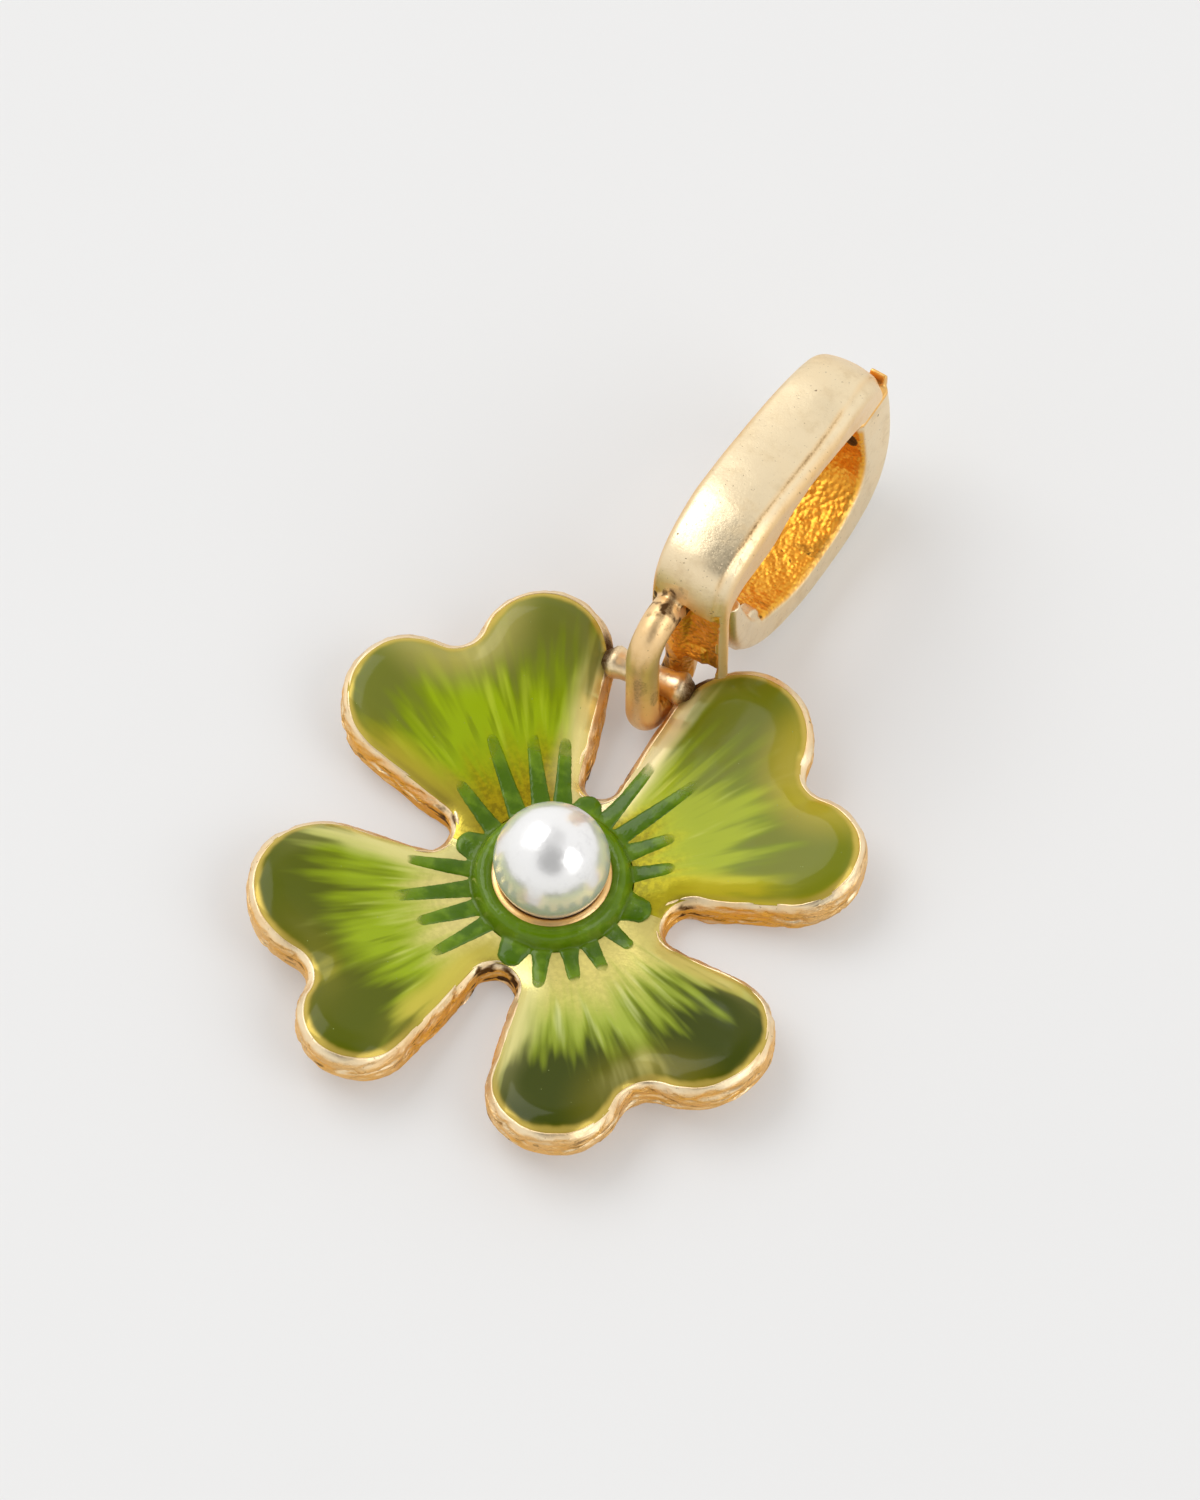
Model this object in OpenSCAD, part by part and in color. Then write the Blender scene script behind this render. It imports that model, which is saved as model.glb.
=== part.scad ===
// Four-leaf clover charm: a cast clover with enamel leaves and a pearl, hung from an opening bail.
// Millimetres. The origin is the middle of the clover's back, +Z leaves its face, +Y runs to the bail.

/* [Clover] */
// Radius of the fillet in the notch between a leaf's two lobes
notch_r = 1.0; // [0.9:0.05:1.1]
// How far the leaves' straight sides lie outside the rays from the hub
side_out = 0.15; // [0.1:0.01:0.2]
// Height of the rim above the table, worked back to the hub
rim_z = 0.95; // [0.92:0.01:1.0]
// How fast the cupped clover rises, per millimetre squared
cupping = 0.014; // [0.0135:0.0001:0.0145]
// Height of the cast wall at the tips
wall_h = 1.5; // [1.4:0.05:1.6]
// Depth of the dishes that hold the enamel
dish_h = 0.5; // [0.48:0.01:0.52]
// Width of the bare rim round each dish
rim_w = 0.42; // [0.4:0.01:0.44]

/* [Enamel] */
// Height of the enamel's crown above the rim, out at the lobes
crown_h = 0.3; // [0.15:0.05:0.35]
// Distance from the hub to the inner end of the enamel in a leaf
leaf_start = 3.12; // [3.1:0.01:3.15]
// Radius of the green ring round the pearl, on its crest
bead_r = 2.5; // [2.45:0.01:2.55]
// Height of that crest above the table
bead_z = 1.66; // [1.6:0.01:1.7]
// Width of the raised strokes
stroke_w = 0.56; // [0.4:0.02:0.6]
// Height of the raised strokes
stroke_h = 0.2; // [0.15:0.01:0.25]

/* [Pearl] */
// Radius of the pearl
pearl_r = 2.0; // [1.98:0.01:2.02]
// Height of the pearl's centre above the table
pearl_z = 2.5; // [2.48:0.01:2.52]
// Radius of the cup that holds it
cup_r = 2.15; // [2.13:0.01:2.16]
// Height of the cup's rim above the table
cup_z = 1.52; // [1.45:0.01:1.6]

/* [Bar and eye] */
// Radius of the cast bar between the two upper leaves
bar_r = 0.5; // [0.45:0.01:0.52]
// Distance of the bar from the hub
bar_y = 8.22; // [8.2:0.01:8.24]
// Height of the bar above the table
bar_z = 1.92; // [1.9:0.01:1.94]
// Radius of the eye's wire
wire_r = 0.56; // [0.52:0.01:0.58]
// Radius of the eye's bends, to the middle of the wire
bend_r = 1.3; // [1.26:0.01:1.32]
// Height of the top of the eye above the table
eye_top = 6.9; // [6.6:0.05:7.0]
// Distance of the eye to the left of the bail's middle
eye_aside = 0.56; // [0.5:0.01:0.58]

/* [Bail] */
// Turn of the bail to the right as the charm lies
bail_yaw = 6.8; // [6.6:0.1:7]
// Distance of the bail to the left of the hub, before the turn
bail_aside = 0.1; // [0.08:0.01:0.12]
// Width of the bail's band where it is widest
band_w = 3.04; // [3.0:0.01:3.1]
// Rounding of the band's edges
edge_r = 0.3; // [0.2:0.02:0.32]
// Gap between the frame and the gate where they close
seam = 0.1; // [0.08:0.01:0.12]

/* [Hinge] */
// Distance of the gate's pin from the hub, along the bail
hinge_s = 10.95; // [10.93:0.01:10.97]
// Height of the gate's pin above the table
hinge_z = 2.9; // [2.88:0.01:2.92]
// Radius of the pin
pin_r = 0.3; // [0.28:0.01:0.32]
// Radius of the gate's ears round the pin
ear_r = 0.8; // [0.78:0.01:0.82]
// Width of the frame's tongue between the ears
tongue_w = 1.1; // [1.0:0.02:1.16]

/* [Hidden] */
$fn = 64;

// Colours as the charm shows them
GOLD = [0.86, 0.72, 0.50];
GREEN = [0.45, 0.58, 0.12];
DEEP_GREEN = [0.30, 0.48, 0.16];
WHITE = [0.93, 0.92, 0.89];

// Gaps: between parts that stay together, and round the pin
gap = 0.04;
pin_gap = 0.03;
overlap = 0.3;

// The hand-formed lobes, anticlockwise in pairs: direction from the hub, distance and radius
TURN = 0;
REACH = 1;
ROUND = 2;
LOBES = [
    [29.3, 8.44, 2.29],
    [63.5, 8.01, 2.70],
    [116.9, 8.34, 2.43],
    [150.9, 8.14, 2.49],
    [210.9, 7.53, 2.89],
    [245.6, 8.71, 2.05],
    [295.8, 8.27, 2.37],
    [333.6, 7.89, 2.66]
];

// Distance from the hub to the corner after each leaf
CORNERS = [3.70, 4.01, 3.84, 4.24];

leaf_count = len(CORNERS);
lobe_steps = 9;
notch_steps = 3;
corner_steps = 4;

function polar(r, a) = [r * cos(a), r * sin(a)];
function blend(a, b, t) = a + (b - a) * t;

// Direction of a vector, within half a turn of another direction
function facing(v, near) = let (a = atan2(v.y, v.x)) a + 360 * round((near - a) / 360);

// Arc from one direction to another, with both its ends
function arc(centre, r, from, to, steps) =
    [for (i = [0:steps]) centre + polar(r, blend(from, to, i / steps))];

function first_lobe(leaf) = LOBES[2 * leaf];
function second_lobe(leaf) = LOBES[2 * leaf + 1];
function lobe_middle(lobe) = polar(lobe[REACH], lobe[TURN]);

// Direction of the straight side next to a lobe: -1 before the first lobe, 1 after the second
function side_turn(lobe, way) = lobe[TURN] + way * asin((lobe[ROUND] - side_out) / lobe[REACH]);
function leaf_from(leaf) = side_turn(first_lobe(leaf), -1);
function leaf_to(leaf) = side_turn(second_lobe(leaf), 1);
function leaf_turn(leaf) = (leaf_from(leaf) + leaf_to(leaf)) / 2;

// Middle of the notch's fillet, which touches both lobes from outside
function notch_middle(leaf) =
    let (
        a = lobe_middle(first_lobe(leaf)),
        b = lobe_middle(second_lobe(leaf)),
        reach_a = first_lobe(leaf)[ROUND] + notch_r,
        reach_b = second_lobe(leaf)[ROUND] + notch_r,
        apart = norm(b - a),
        along = (reach_a ^ 2 - reach_b ^ 2 + apart ^ 2) / (2 * apart),
        way = (b - a) / apart
    )
    a + way * along + [way.y, -way.x] * sqrt(reach_a ^ 2 - along ^ 2);

// A leaf's edge from its first straight side to its second, moved in by a distance
function lobes_edge(leaf, inset) =
    let (
        first = first_lobe(leaf),
        second = second_lobe(leaf),
        a = lobe_middle(first),
        b = lobe_middle(second),
        n = notch_middle(leaf),
        to_notch = facing(n - a, first[TURN]),
        from_notch = facing(n - b, second[TURN]),
        notch = arc(n, notch_r + inset, to_notch + 180, from_notch + 180, notch_steps)
    )
    concat(
        arc(a, first[ROUND] - inset, leaf_from(leaf) - 90, to_notch, lobe_steps),
        [for (i = [1:notch_steps - 1]) notch[i]],
        arc(b, second[ROUND] - inset, from_notch, leaf_to(leaf) + 90, lobe_steps)
    );

// The corner after a leaf, from its side to the next leaf's side: shares of the way from and to
function corner_edge(leaf, inset, from, to, steps) =
    let (
        next = leaf_from((leaf + 1) % leaf_count) + (leaf == leaf_count - 1 ? 360 : 0),
        half = (next - leaf_to(leaf)) / 2,
        middle = leaf_to(leaf) + half,
        r = (CORNERS[leaf] * sin(half) - side_out) / (1 - sin(half)),
        start = leaf_to(leaf) - 90,
        end = next + 90 - 360
    )
    arc(polar(CORNERS[leaf] + r, middle), r + inset, blend(start, end, from),
        blend(start, end, to), steps);

function clover_edge(inset) = [
    for (leaf = [0:leaf_count - 1])
        each concat(lobes_edge(leaf, inset), corner_edge(leaf, inset, 0, 1, corner_steps))
];

// The cupped surface that the rims lie on
function rim_height(r) = rim_z + cupping * r ^ 2;
function floor_height(r) = rim_height(r) - dish_h;

// Indices of the faces between rings of n points, from the first ring to the last
function walls(count, n) = [
    for (k = [0:count - 2])
        for (i = [0:n - 1])
            let (a = k * n + i, b = k * n + (i + 1) % n)
                each [[a, a + n, b + n], [a, b + n, b]]
];

// Solid through rings of points, from the first to the last, closed by a fan at each end
module skin(first, rings, last) {
    n = len(rings[0]);
    end = len(rings) * n;
    points = concat([for (ring = rings) each ring], [first, last]);
    first_fan = [for (i = [0:n - 1]) [end, i, (i + 1) % n]];
    last_fan = [for (i = [0:n - 1]) [end + 1, end - n + (i + 1) % n, end - n + i]];
    polyhedron(points, concat(first_fan, walls(len(rings), n), last_fan), convexity = 8);
}

// The casting's section from its back to the floor of its dishes: inset, height from the rim
back_z = 0.12;
SECTION_INSET = 0;
SECTION_HEIGHT = 1;
CAST = [
    [0.30, -wall_h],
    [0.00, -wall_h + 0.25],
    [0.05, -0.5],
    [0.09, -0.12],
    [0.19, 0],
    [rim_w, 0],
    [rim_w + 0.06, -dish_h]
];

function cast_point(p, height) = [p.x, p.y, max(back_z, rim_height(norm(p)) + height)];

// Fans that close a ring over the four leaves and the hub: its first point, the first of its middles
lobe_points = 2 * lobe_steps + notch_steps + 1;
leaf_points = lobe_points + corner_steps + 1;
cast_points = leaf_count * leaf_points;

function leaf_fan(ring, leaf, middle) =
    let (before = leaf * leaf_points + cast_points - 1)
    [
        for (i = [0:lobe_points + 1])
            [middle, ring + (before + (i + 1) % (lobe_points + 2)) % cast_points,
                ring + (before + i) % cast_points]
    ];
function hub_fan(ring, leaf, middle) =
    let (
        before = (leaf * leaf_points + cast_points - 1) % cast_points,
        corner = leaf * leaf_points + lobe_points
    )
    concat(
        [[middle, ring + corner, ring + before]],
        [for (i = [0:corner_steps - 1]) [middle, ring + corner + i + 1, ring + corner + i]]
    );
function lid(ring, middles) = [
    for (leaf = [0:leaf_count - 1])
        each concat(
            leaf_fan(ring, leaf, middles + leaf),
            hub_fan(ring, leaf, middles + leaf_count)
        )
];
function turned_over(faces) = [for (f = faces) [f[0], f[2], f[1]]];

leaf_middle = 5.6;
function lid_middles(height) = concat(
    [for (leaf = [0:leaf_count - 1])
        cast_point(polar(leaf_middle, leaf_turn(leaf)), height)],
    [cast_point([0, 0], height)]
);

module casting() {
    rings = [
        for (row = CAST)
            [for (p = clover_edge(row[SECTION_INSET])) cast_point(p, row[SECTION_HEIGHT])]
    ];
    back = len(rings) * cast_points;
    front = back + leaf_count + 1;
    polyhedron(
        concat([for (ring = rings) each ring], lid_middles(-wall_h), lid_middles(-dish_h)),
        concat(
            turned_over(lid(0, back)),
            walls(len(rings), cast_points),
            lid(back - cast_points, front)
        ),
        convexity = 8
    );
}

// Pad that the charm lies on, and the bar's section along its length
pad_r = 3.3;
pad_h = 0.35;
cup_base = 0.3;
bar_from = -1.86;
bar_to = 1.48;
END_IN = 0;
END_R = 1;
BAR_END = [[0, 0], [0.05, 0.26], [0.2, 0.44], [0.42, bar_r + 0.1], [0.8, bar_r]];

module bar() {
    translate([0, bar_y, bar_z])
        rotate([0, 90, 0])
            rotate_extrude()
                polygon(concat(
                    [for (row = BAR_END) [row[END_R], bar_from + row[END_IN]]],
                    [for (i = [len(BAR_END) - 1:-1:0])
                        [BAR_END[i][END_R], bar_to - BAR_END[i][END_IN]]]
                ));
}

module clover_base() {
    color(GOLD)
        difference() {
            union() {
                casting();
                cylinder(r = pad_r, h = pad_h);
                translate([0, 0, cup_base])
                    cylinder(r = cup_r, h = cup_z - cup_base);
                bar();
            }
            translate([0, 0, pearl_z])
                sphere(r = pearl_r + gap);
        }
}

// The enamel in a leaf reaches half-way round both its corners and ends at the hub in an arc
enamel_inset = rim_w + 0.06 + gap;
corner_half = 0.42;
corner_share = 0.2;
corner_room = 0.05;
half_steps = 2;
end_steps = 5;
enamel_middle = 4.8;
crown_from = 3;
crown_over = 4;
under_z = 0.87;

function pushed_out(points, r) = [for (p = points) p * max(1, r / norm(p))];
function enamel_edge(leaf, inset) =
    let (
        less = corner_share * (inset - enamel_inset),
        turn = leaf_turn(leaf),
        r = leaf_start + less,
        after = corner_edge(leaf, enamel_inset + less, 0, corner_half, half_steps),
        before = corner_edge((leaf + leaf_count - 1) % leaf_count, enamel_inset + less,
            1 - corner_half, 1, half_steps),
        start = facing(after[half_steps], turn),
        end = facing(before[0], turn)
    )
    concat(
        pushed_out(before, r + corner_room),
        lobes_edge(leaf, inset),
        pushed_out(after, r + corner_room),
        arc([0, 0], r, start, end, end_steps)
    );

// The crown grows from nothing at the hub to its whole height out at the lobes
function crown(r) = crown_h * min(1, max(0, (r - crown_from) / crown_over));

// The enamel's section: inset from its own edge, size about the leaf's middle, depth, share of crown
FILL_INSET = 0;
FILL_SCALE = 1;
FILL_HEIGHT = 2;
FILL_CROWN = 3;
FILL = [
    [0.00, 1.00, gap - dish_h, 0],
    [0.00, 1.00, -0.06, 0],
    [0.12, 1.00, 0, 0.35],
    [0.35, 1.00, 0, 0.70],
    [0.35, 0.80, 0, 0.95],
    [0.35, 0.50, 0, 1.00],
    [0.35, 0.22, 0, 1.00]
];

function fill_point(p, row) = let (r = norm(p))
    [p.x, p.y, max(under_z, rim_height(r) + row[FILL_HEIGHT]) + row[FILL_CROWN] * crown(r)];

module enamel_leaf(leaf) {
    middle = polar(enamel_middle, leaf_turn(leaf));
    rings = [
        for (row = FILL)
            [for (p = enamel_edge(leaf, enamel_inset + row[FILL_INSET]))
                fill_point(blend(middle, p, row[FILL_SCALE]), row)]
    ];
    color(GREEN)
        skin(fill_point(middle, FILL[0]), rings, fill_point(middle, FILL[len(FILL) - 1]));
}

module enamel_leaf_1() {
    enamel_leaf(0);
}

module enamel_leaf_2() {
    enamel_leaf(1);
}

module enamel_leaf_3() {
    enamel_leaf(2);
}

module enamel_leaf_4() {
    enamel_leaf(3);
}

// Raised strokes, and a web in each corner: direction at the ring, direction at the tip, tip's reach
ROOT_TURN = 0;
TIP_TURN = 1;
TIP_REACH = 2;
STROKES = [
    [3.4, 3.4, 3.5],
    [29.2, 30.2, 4.25],
    [48.2, 44.9, 4.5],
    [61.5, 59.6, 6.1],
    [75.9, 76.2, 5.65],
    [91.6, 91.6, 3.4],
    [107.3, 109.9, 5.35],
    [122.4, 122.2, 5.55],
    [140.5, 136.4, 5.8],
    [161.8, 156.2, 4.9],
    [178.6, 178.6, 3.45],
    [195.8, 197.2, 5.05],
    [210.2, 214.1, 5.5],
    [227.3, 226.5, 4.95],
    [242.2, 241.9, 5.1],
    [269.2, 269.2, 3.45],
    [287.4, 288.8, 4.3],
    [308.0, 306.0, 4.15],
    [322.8, 321.5, 4.05],
    [341.6, 340.3, 3.85]
];

// A stroke's outline, round its tip: share of its length, share of its half width
STROKE_EDGE = [[0.12, -0.85], [0.6, -1], [0.93, -0.6], [1, 0], [0.93, 0.6], [0.6, 1], [0.12, 0.85]];
stroke_points = len(STROKE_EDGE) + 1;
hub_points = len(STROKES) * stroke_points;
ring_in = cup_r + gap;
ring_out = leaf_start - gap;
ring_base = 0.8;

function root_turn(i) = let (n = len(STROKES))
    STROKES[(i + n) % n][ROOT_TURN] + 360 * floor(i / n);
function valley_turn(i) = (root_turn(i - 1) + root_turn(i)) / 2;

// Circle with its points spread evenly between the valleys
function hub_circle(r, z) = [
    for (i = [0:len(STROKES) - 1])
        for (j = [0:stroke_points - 1])
            concat(polar(r, blend(valley_turn(i), valley_turn(i + 1), j / stroke_points)), [z])
];

// The strokes' outline, narrowed by a share and drawn in by a distance, at a height over the enamel
function stroke_point(row, edge, narrow, inset, height) =
    let (
        root = polar(ring_out - inset, row[ROOT_TURN]),
        tip = polar(row[TIP_REACH] - inset, row[TIP_TURN]),
        way = (tip - root) / norm(tip - root),
        half = narrow * stroke_w / 2,
        p = blend(root, tip, edge.x) + [-way.y, way.x] * half * edge.y,
        r = norm(p)
    )
    [p.x, p.y, rim_height(r) + crown(r) + gap + height];
function strokes_ring(narrow, inset, height) = [
    for (i = [0:len(STROKES) - 1])
        each concat(
            [concat(polar(ring_out + 0.06 - inset, valley_turn(i)),
                [rim_height(ring_out) + gap + height])],
            [for (edge = STROKE_EDGE) stroke_point(STROKES[i], edge, narrow, inset, height)]
        )
];

module enamel_hub() {
    rings = [
        hub_circle(ring_in, ring_base),
        hub_circle(ring_out, ring_base),
        hub_circle(ring_out, rim_height(ring_out) + gap),
        strokes_ring(1, 0, 0),
        strokes_ring(0.85, 0.03, 0.65 * stroke_h),
        strokes_ring(0.4, 0.12, stroke_h),
        hub_circle(bead_r + 0.34, rim_height(ring_out) + gap + stroke_h),
        hub_circle(bead_r + 0.18, bead_z - 0.1),
        hub_circle(bead_r, bead_z),
        hub_circle(bead_r - 0.2, bead_z - 0.08),
        hub_circle(ring_in, bead_z - 0.2)
    ];
    count = len(rings);
    last = (count - 1) * hub_points;
    closing = [
        for (i = [0:hub_points - 1])
            let (j = (i + 1) % hub_points)
                each [[last + i, i, j], [last + i, j, last + j]]
    ];
    color(DEEP_GREEN)
        polyhedron([for (ring = rings) each ring], concat(walls(count, hub_points), closing),
            convexity = 12);
}

module pearl() {
    color(WHITE)
        translate([0, 0, pearl_z])
            sphere(r = pearl_r);
}

// The bail is drawn with X across its band, Y along it and Z up, then turned
module bail_place() {
    rotate([0, 0, -bail_yaw])
        translate([-bail_aside, 0, 0])
            children();
}

// Columns of the two band tables: outer edge, inner edge, and how much narrower the half width is
OUT_S = 0;
OUT_Z = 1;
IN_S = 2;
IN_Z = 3;
LESS = 4;
seam_z = 5.83;

// The frame's band, from the end at the hinge, over the front, to the end at the seam
FRAME = [
    [8.64, 2.60, 9.38, 2.60, 0.06],
    [8.62, 5.00, 9.40, 5.00, 0.04],
    [8.76, 7.10, 9.48, 6.60, 0.06],
    [9.25, 8.30, 10.20, 7.00, 0.08],
    [10.1, 8.85, 11.00, 7.10, 0.04],
    [11.6, 9.20, 12.00, 7.15, 0],
    [13.2, 9.08, 13.20, 7.58, 0],
    [14.8, 8.80, 14.60, 7.66, 0],
    [16.4, 8.50, 16.00, 7.34, 0.03],
    [17.8, 8.30, 17.25, 6.75, 0.12],
    [18.9, 7.80, 18.05, 6.25, 0.22],
    [19.4, 6.95, 18.28, 5.98, 0.27],
    [19.7, seam_z + seam / 2, 18.35, seam_z + seam / 2, 0.32]
];

// The gate's band, from the end at the seam, round the back, to the horn beyond the ears
GATE = [
    [20.45, seam_z - seam / 2, 18.35, seam_z - seam / 2, 0.32],
    [20.55, 4.40, 18.42, 4.60, 0.26],
    [20.45, 2.80, 18.42, 3.40, 0.18],
    [19.95, 1.40, 18.10, 2.55, 0.1],
    [19.00, 0.45, 17.40, 2.05, 0.04],
    [17.50, 0.06, 16.40, 1.82, 0],
    [15.90, 0.00, 15.20, 1.76, 0],
    [14.30, 0.14, 14.20, 1.84, 0],
    [12.90, 0.40, 13.30, 2.00, 0.06],
    [11.90, 0.75, 12.40, 2.40, 0.12],
    [11.00, 1.50, 11.60, 2.95, 0.12],
    [10.22, 2.50, 11.10, 3.60, 0.10],
    [9.76, 3.70, 10.75, 4.40, 0.10],
    [9.58, 4.80, 10.50, 5.20, 0.12],
    [9.60, 6.00, 10.28, 6.00, 0.14]
];

// Smooth curve through the rows of a table
function spline(a, b, c, d, t) = 0.5 * (2 * b + (c - a) * t + (2 * a - 5 * b + 4 * c - d) * t ^ 2
    + (3 * b - a - 3 * c + d) * t ^ 3);
function smooth(rows, steps) = let (end = len(rows) - 1)
    concat(
        [for (k = [0:end - 1])
            for (j = [0:steps - 1])
                spline(rows[max(k - 1, 0)], rows[k], rows[k + 1], rows[min(k + 2, end)], j / steps)],
        [rows[end]]
    );

// One section of the band: a rectangle from its outer to its inner edge with rounded corners
function section(row) =
    let (
        outer = [row[OUT_S], row[OUT_Z]],
        inner = [row[IN_S], row[IN_Z]],
        depth = norm(inner - outer),
        across = (inner - outer) / depth,
        w = band_w / 2 - row[LESS],
        corner = [[edge_r, 0], [edge_r * 0.3, edge_r * 0.3], [0, edge_r]],
        side = concat(corner, [for (i = [2:-1:0]) [corner[i].x, depth - corner[i].y]]),
        loop = concat(
            [for (p = side) [w - p.x, p.y]],
            [for (i = [len(side) - 1:-1:0]) [side[i].x - w, side[i].y]]
        )
    )
    [for (p = loop) let (q = outer + across * p.y) [p.x, q.x, q.y]];

function middle_of(ring) = [for (axis = [0:2]) (max([for (p = ring) p[axis]])
    + min([for (p = ring) p[axis]])) / 2];

module band(rows, steps) {
    rings = [for (row = smooth(rows, steps)) section(row)];
    skin(middle_of(rings[0]), rings, middle_of(rings[len(rings) - 1]));
}

band_steps = 3;

// The eye is a long loop soldered to the frame's lower end
module eye_bend(z, up) {
    translate([0, bar_y, z])
        rotate([0, 90, 0])
            rotate([0, 0, up ? 90 : -90])
                rotate_extrude(angle = 180)
                    translate([bend_r, 0])
                        circle(r = wire_r);
}

module eye() {
    top_bend = eye_top - wire_r - bend_r;
    translate([-eye_aside, 0, 0]) {
        eye_bend(bar_z, false);
        eye_bend(top_bend, true);
        for (side = [-1, 1])
            translate([0, bar_y + side * bend_r, bar_z])
                cylinder(r = wire_r, h = top_bend - bar_z);
    }
}

// A round rod across the band at the hinge
module hinge_rod(r, from, to) {
    translate([from, hinge_s, hinge_z])
        rotate([0, 90, 0])
            cylinder(r = r, h = to - from);
}

tongue_r = 0.8;
tongue_low = 0.25;
tongue_high = 0.6;
tongue_root = 9.1;
ear_gap = 0.08;
ear_out = 1.2;

// Notch inside the frame's end, over the gate's catch
catch_w = 0.8;
catch_l = 0.35;
catch_h = 0.45;

module bail_frame() {
    color(GOLD)
        bail_place()
            difference() {
                union() {
                    difference() {
                        union() {
                            band(FRAME, band_steps);
                            eye();
                        }
                        translate([-catch_w / 2, FRAME[12][IN_S] - overlap, seam_z - overlap])
                            cube([catch_w, catch_l + overlap, overlap + catch_h]);
                    }
                    hinge_rod(tongue_r, -tongue_w / 2, tongue_w / 2);
                    translate([-tongue_w / 2, tongue_root, hinge_z - tongue_low])
                        cube([tongue_w, hinge_s - tongue_root, tongue_low + tongue_high]);
                }
                hinge_rod(pin_r + pin_gap, -tongue_w, tongue_w);
            }
}

// Lip outside the frame's end that a fingernail opens the gate by
lip_w = 2.0;
LIP = [[19.87, 5.45], [20.30, 5.15], [20.15, 6.10], [19.72, 6.85], [19.54, 6.85]];

// Slot in the gate for the tongue, and the pin's blind hole from the left ear
slot_from = 9.3;
slot_low = 1.7;
slot_high = 6.5;

// The gate's horn stands on the right alone, which leaves room for the eye on the left
horn_from = 0.15;
eye_room_to = 10.9;
pin_end = 0.22;

module bail_gate() {
    slot_half = tongue_w / 2 + ear_gap;
    color(GOLD)
        bail_place()
            difference() {
                union() {
                    difference() {
                        band(GATE, band_steps);
                        translate([-band_w, slot_from, 0])
                            cube([band_w + horn_from, eye_room_to - slot_from, slot_high]);
                    }
                    hinge_rod(ear_r, -ear_out, ear_out);
                    rotate([90, 0, 90])
                        translate([0, 0, -lip_w / 2])
                            linear_extrude(lip_w)
                                polygon(LIP);
                }
                hinge_rod(tongue_r + ear_gap, -slot_half, slot_half);
                translate([-slot_half, slot_from, slot_low])
                    cube([2 * slot_half, hinge_s - slot_from, slot_high - slot_low]);
                hinge_rod(pin_r + pin_gap, -2 * ear_out, ear_out - pin_end);
            }
}

module hinge_pin() {
    color(GOLD)
        bail_place()
            hinge_rod(pin_r, gap - ear_out, ear_out - pin_end - gap);
}

clover_base();
enamel_leaf_1();
enamel_leaf_2();
enamel_leaf_3();
enamel_leaf_4();
enamel_hub();
pearl();
bail_frame();
bail_gate();
hinge_pin();
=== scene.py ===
"""Four-leaf clover charm: a cast clover with dished green enamel, a pearl and an opening bail."""

import logging
import math
from dataclasses import dataclass, field
from enum import Enum
from typing import ClassVar

import bmesh
import bpy
import numpy as np
from mathutils import Matrix, Vector


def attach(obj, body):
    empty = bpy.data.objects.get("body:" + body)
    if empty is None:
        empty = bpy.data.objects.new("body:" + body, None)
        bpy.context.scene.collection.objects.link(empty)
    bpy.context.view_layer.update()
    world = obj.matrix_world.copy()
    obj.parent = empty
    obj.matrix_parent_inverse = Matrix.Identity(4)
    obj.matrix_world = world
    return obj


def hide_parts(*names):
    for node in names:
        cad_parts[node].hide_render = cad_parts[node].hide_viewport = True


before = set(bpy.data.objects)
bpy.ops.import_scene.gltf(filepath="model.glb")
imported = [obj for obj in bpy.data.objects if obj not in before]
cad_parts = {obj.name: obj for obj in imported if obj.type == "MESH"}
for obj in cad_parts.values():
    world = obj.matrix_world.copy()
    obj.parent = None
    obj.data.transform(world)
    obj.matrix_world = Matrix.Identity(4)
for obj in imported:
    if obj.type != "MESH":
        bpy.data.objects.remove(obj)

log = logging.getLogger("clover_charm")

Colour = tuple[float, float, float]
Point = tuple[float, float, float]
Profile = list[tuple[float, float]]
Faces = list[tuple[int, ...]]

# Pieces are shaped in millimetres and brought to the frame's metres when they are finished
METRES = 0.001
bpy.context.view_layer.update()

LEAVES = 4

# Points closer than WELD become one, and edges shorter than SLIVER go
WELD = 1e-4
SLIVER = 1e-5


class Body(Enum):
    """Bodies of the charm that move as one."""

    CLOVER = "clover"
    BAIL = "bail"
    GATE = "gate"


class Slot(Enum):
    """Material slots of the charm's record."""

    GOLD = "gold"
    LEAF_ENAMEL = "leaf_enamel"
    HUB_ENAMEL = "hub_enamel"
    PEARL = "pearl"


class Joinery(Enum):
    """Ways to join a tool's shape to a metal blank."""

    ADD = "UNION"
    CUT = "DIFFERENCE"


# ---- Shapes in numbers


def polar(radius: float | np.ndarray, degrees: float | np.ndarray) -> np.ndarray:
    """Return points of the plane from their distance and direction."""
    turn = np.radians(degrees)
    return np.stack(np.broadcast_arrays(radius * np.cos(turn), radius * np.sin(turn)), axis=-1)


def circle(radius: float, steps: int) -> np.ndarray:
    """Return the points of a circle round the origin, anticlockwise from its right."""
    return polar(radius, np.arange(steps) * 360 / steps)


def rod_rings(stations: Profile, steps: int, y: float, z: float) -> np.ndarray:
    """Return the rings of a round rod along X.

    Args:
        stations: radius and X of each ring, from the lowest X.
        steps: number of points in a ring.
        y: the Y of the rod's axis.
        z: the height of the rod's axis.

    Returns:
        The rings, for Shells.add_rings.
    """
    axis = np.array([y, z])
    rings = [np.column_stack([np.full(steps, x), circle(r, steps) + axis]) for r, x in stations]
    return np.array(rings)


def capped(rings: list[np.ndarray]) -> np.ndarray:
    """Return rings with one more at each end, drawn together to a point."""
    first, last = (np.tile(ring.mean(axis=0), (len(ring), 1)) for ring in (rings[0], rings[-1]))
    return np.array([first, *rings, last])


def ramp(value: np.ndarray | float, low: float, high: float) -> np.ndarray:
    """Return a smooth step from 0 at low to 1 at high."""
    share = np.clip((value - low) / (high - low), 0, 1)
    return share * share * (3 - 2 * share)


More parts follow.
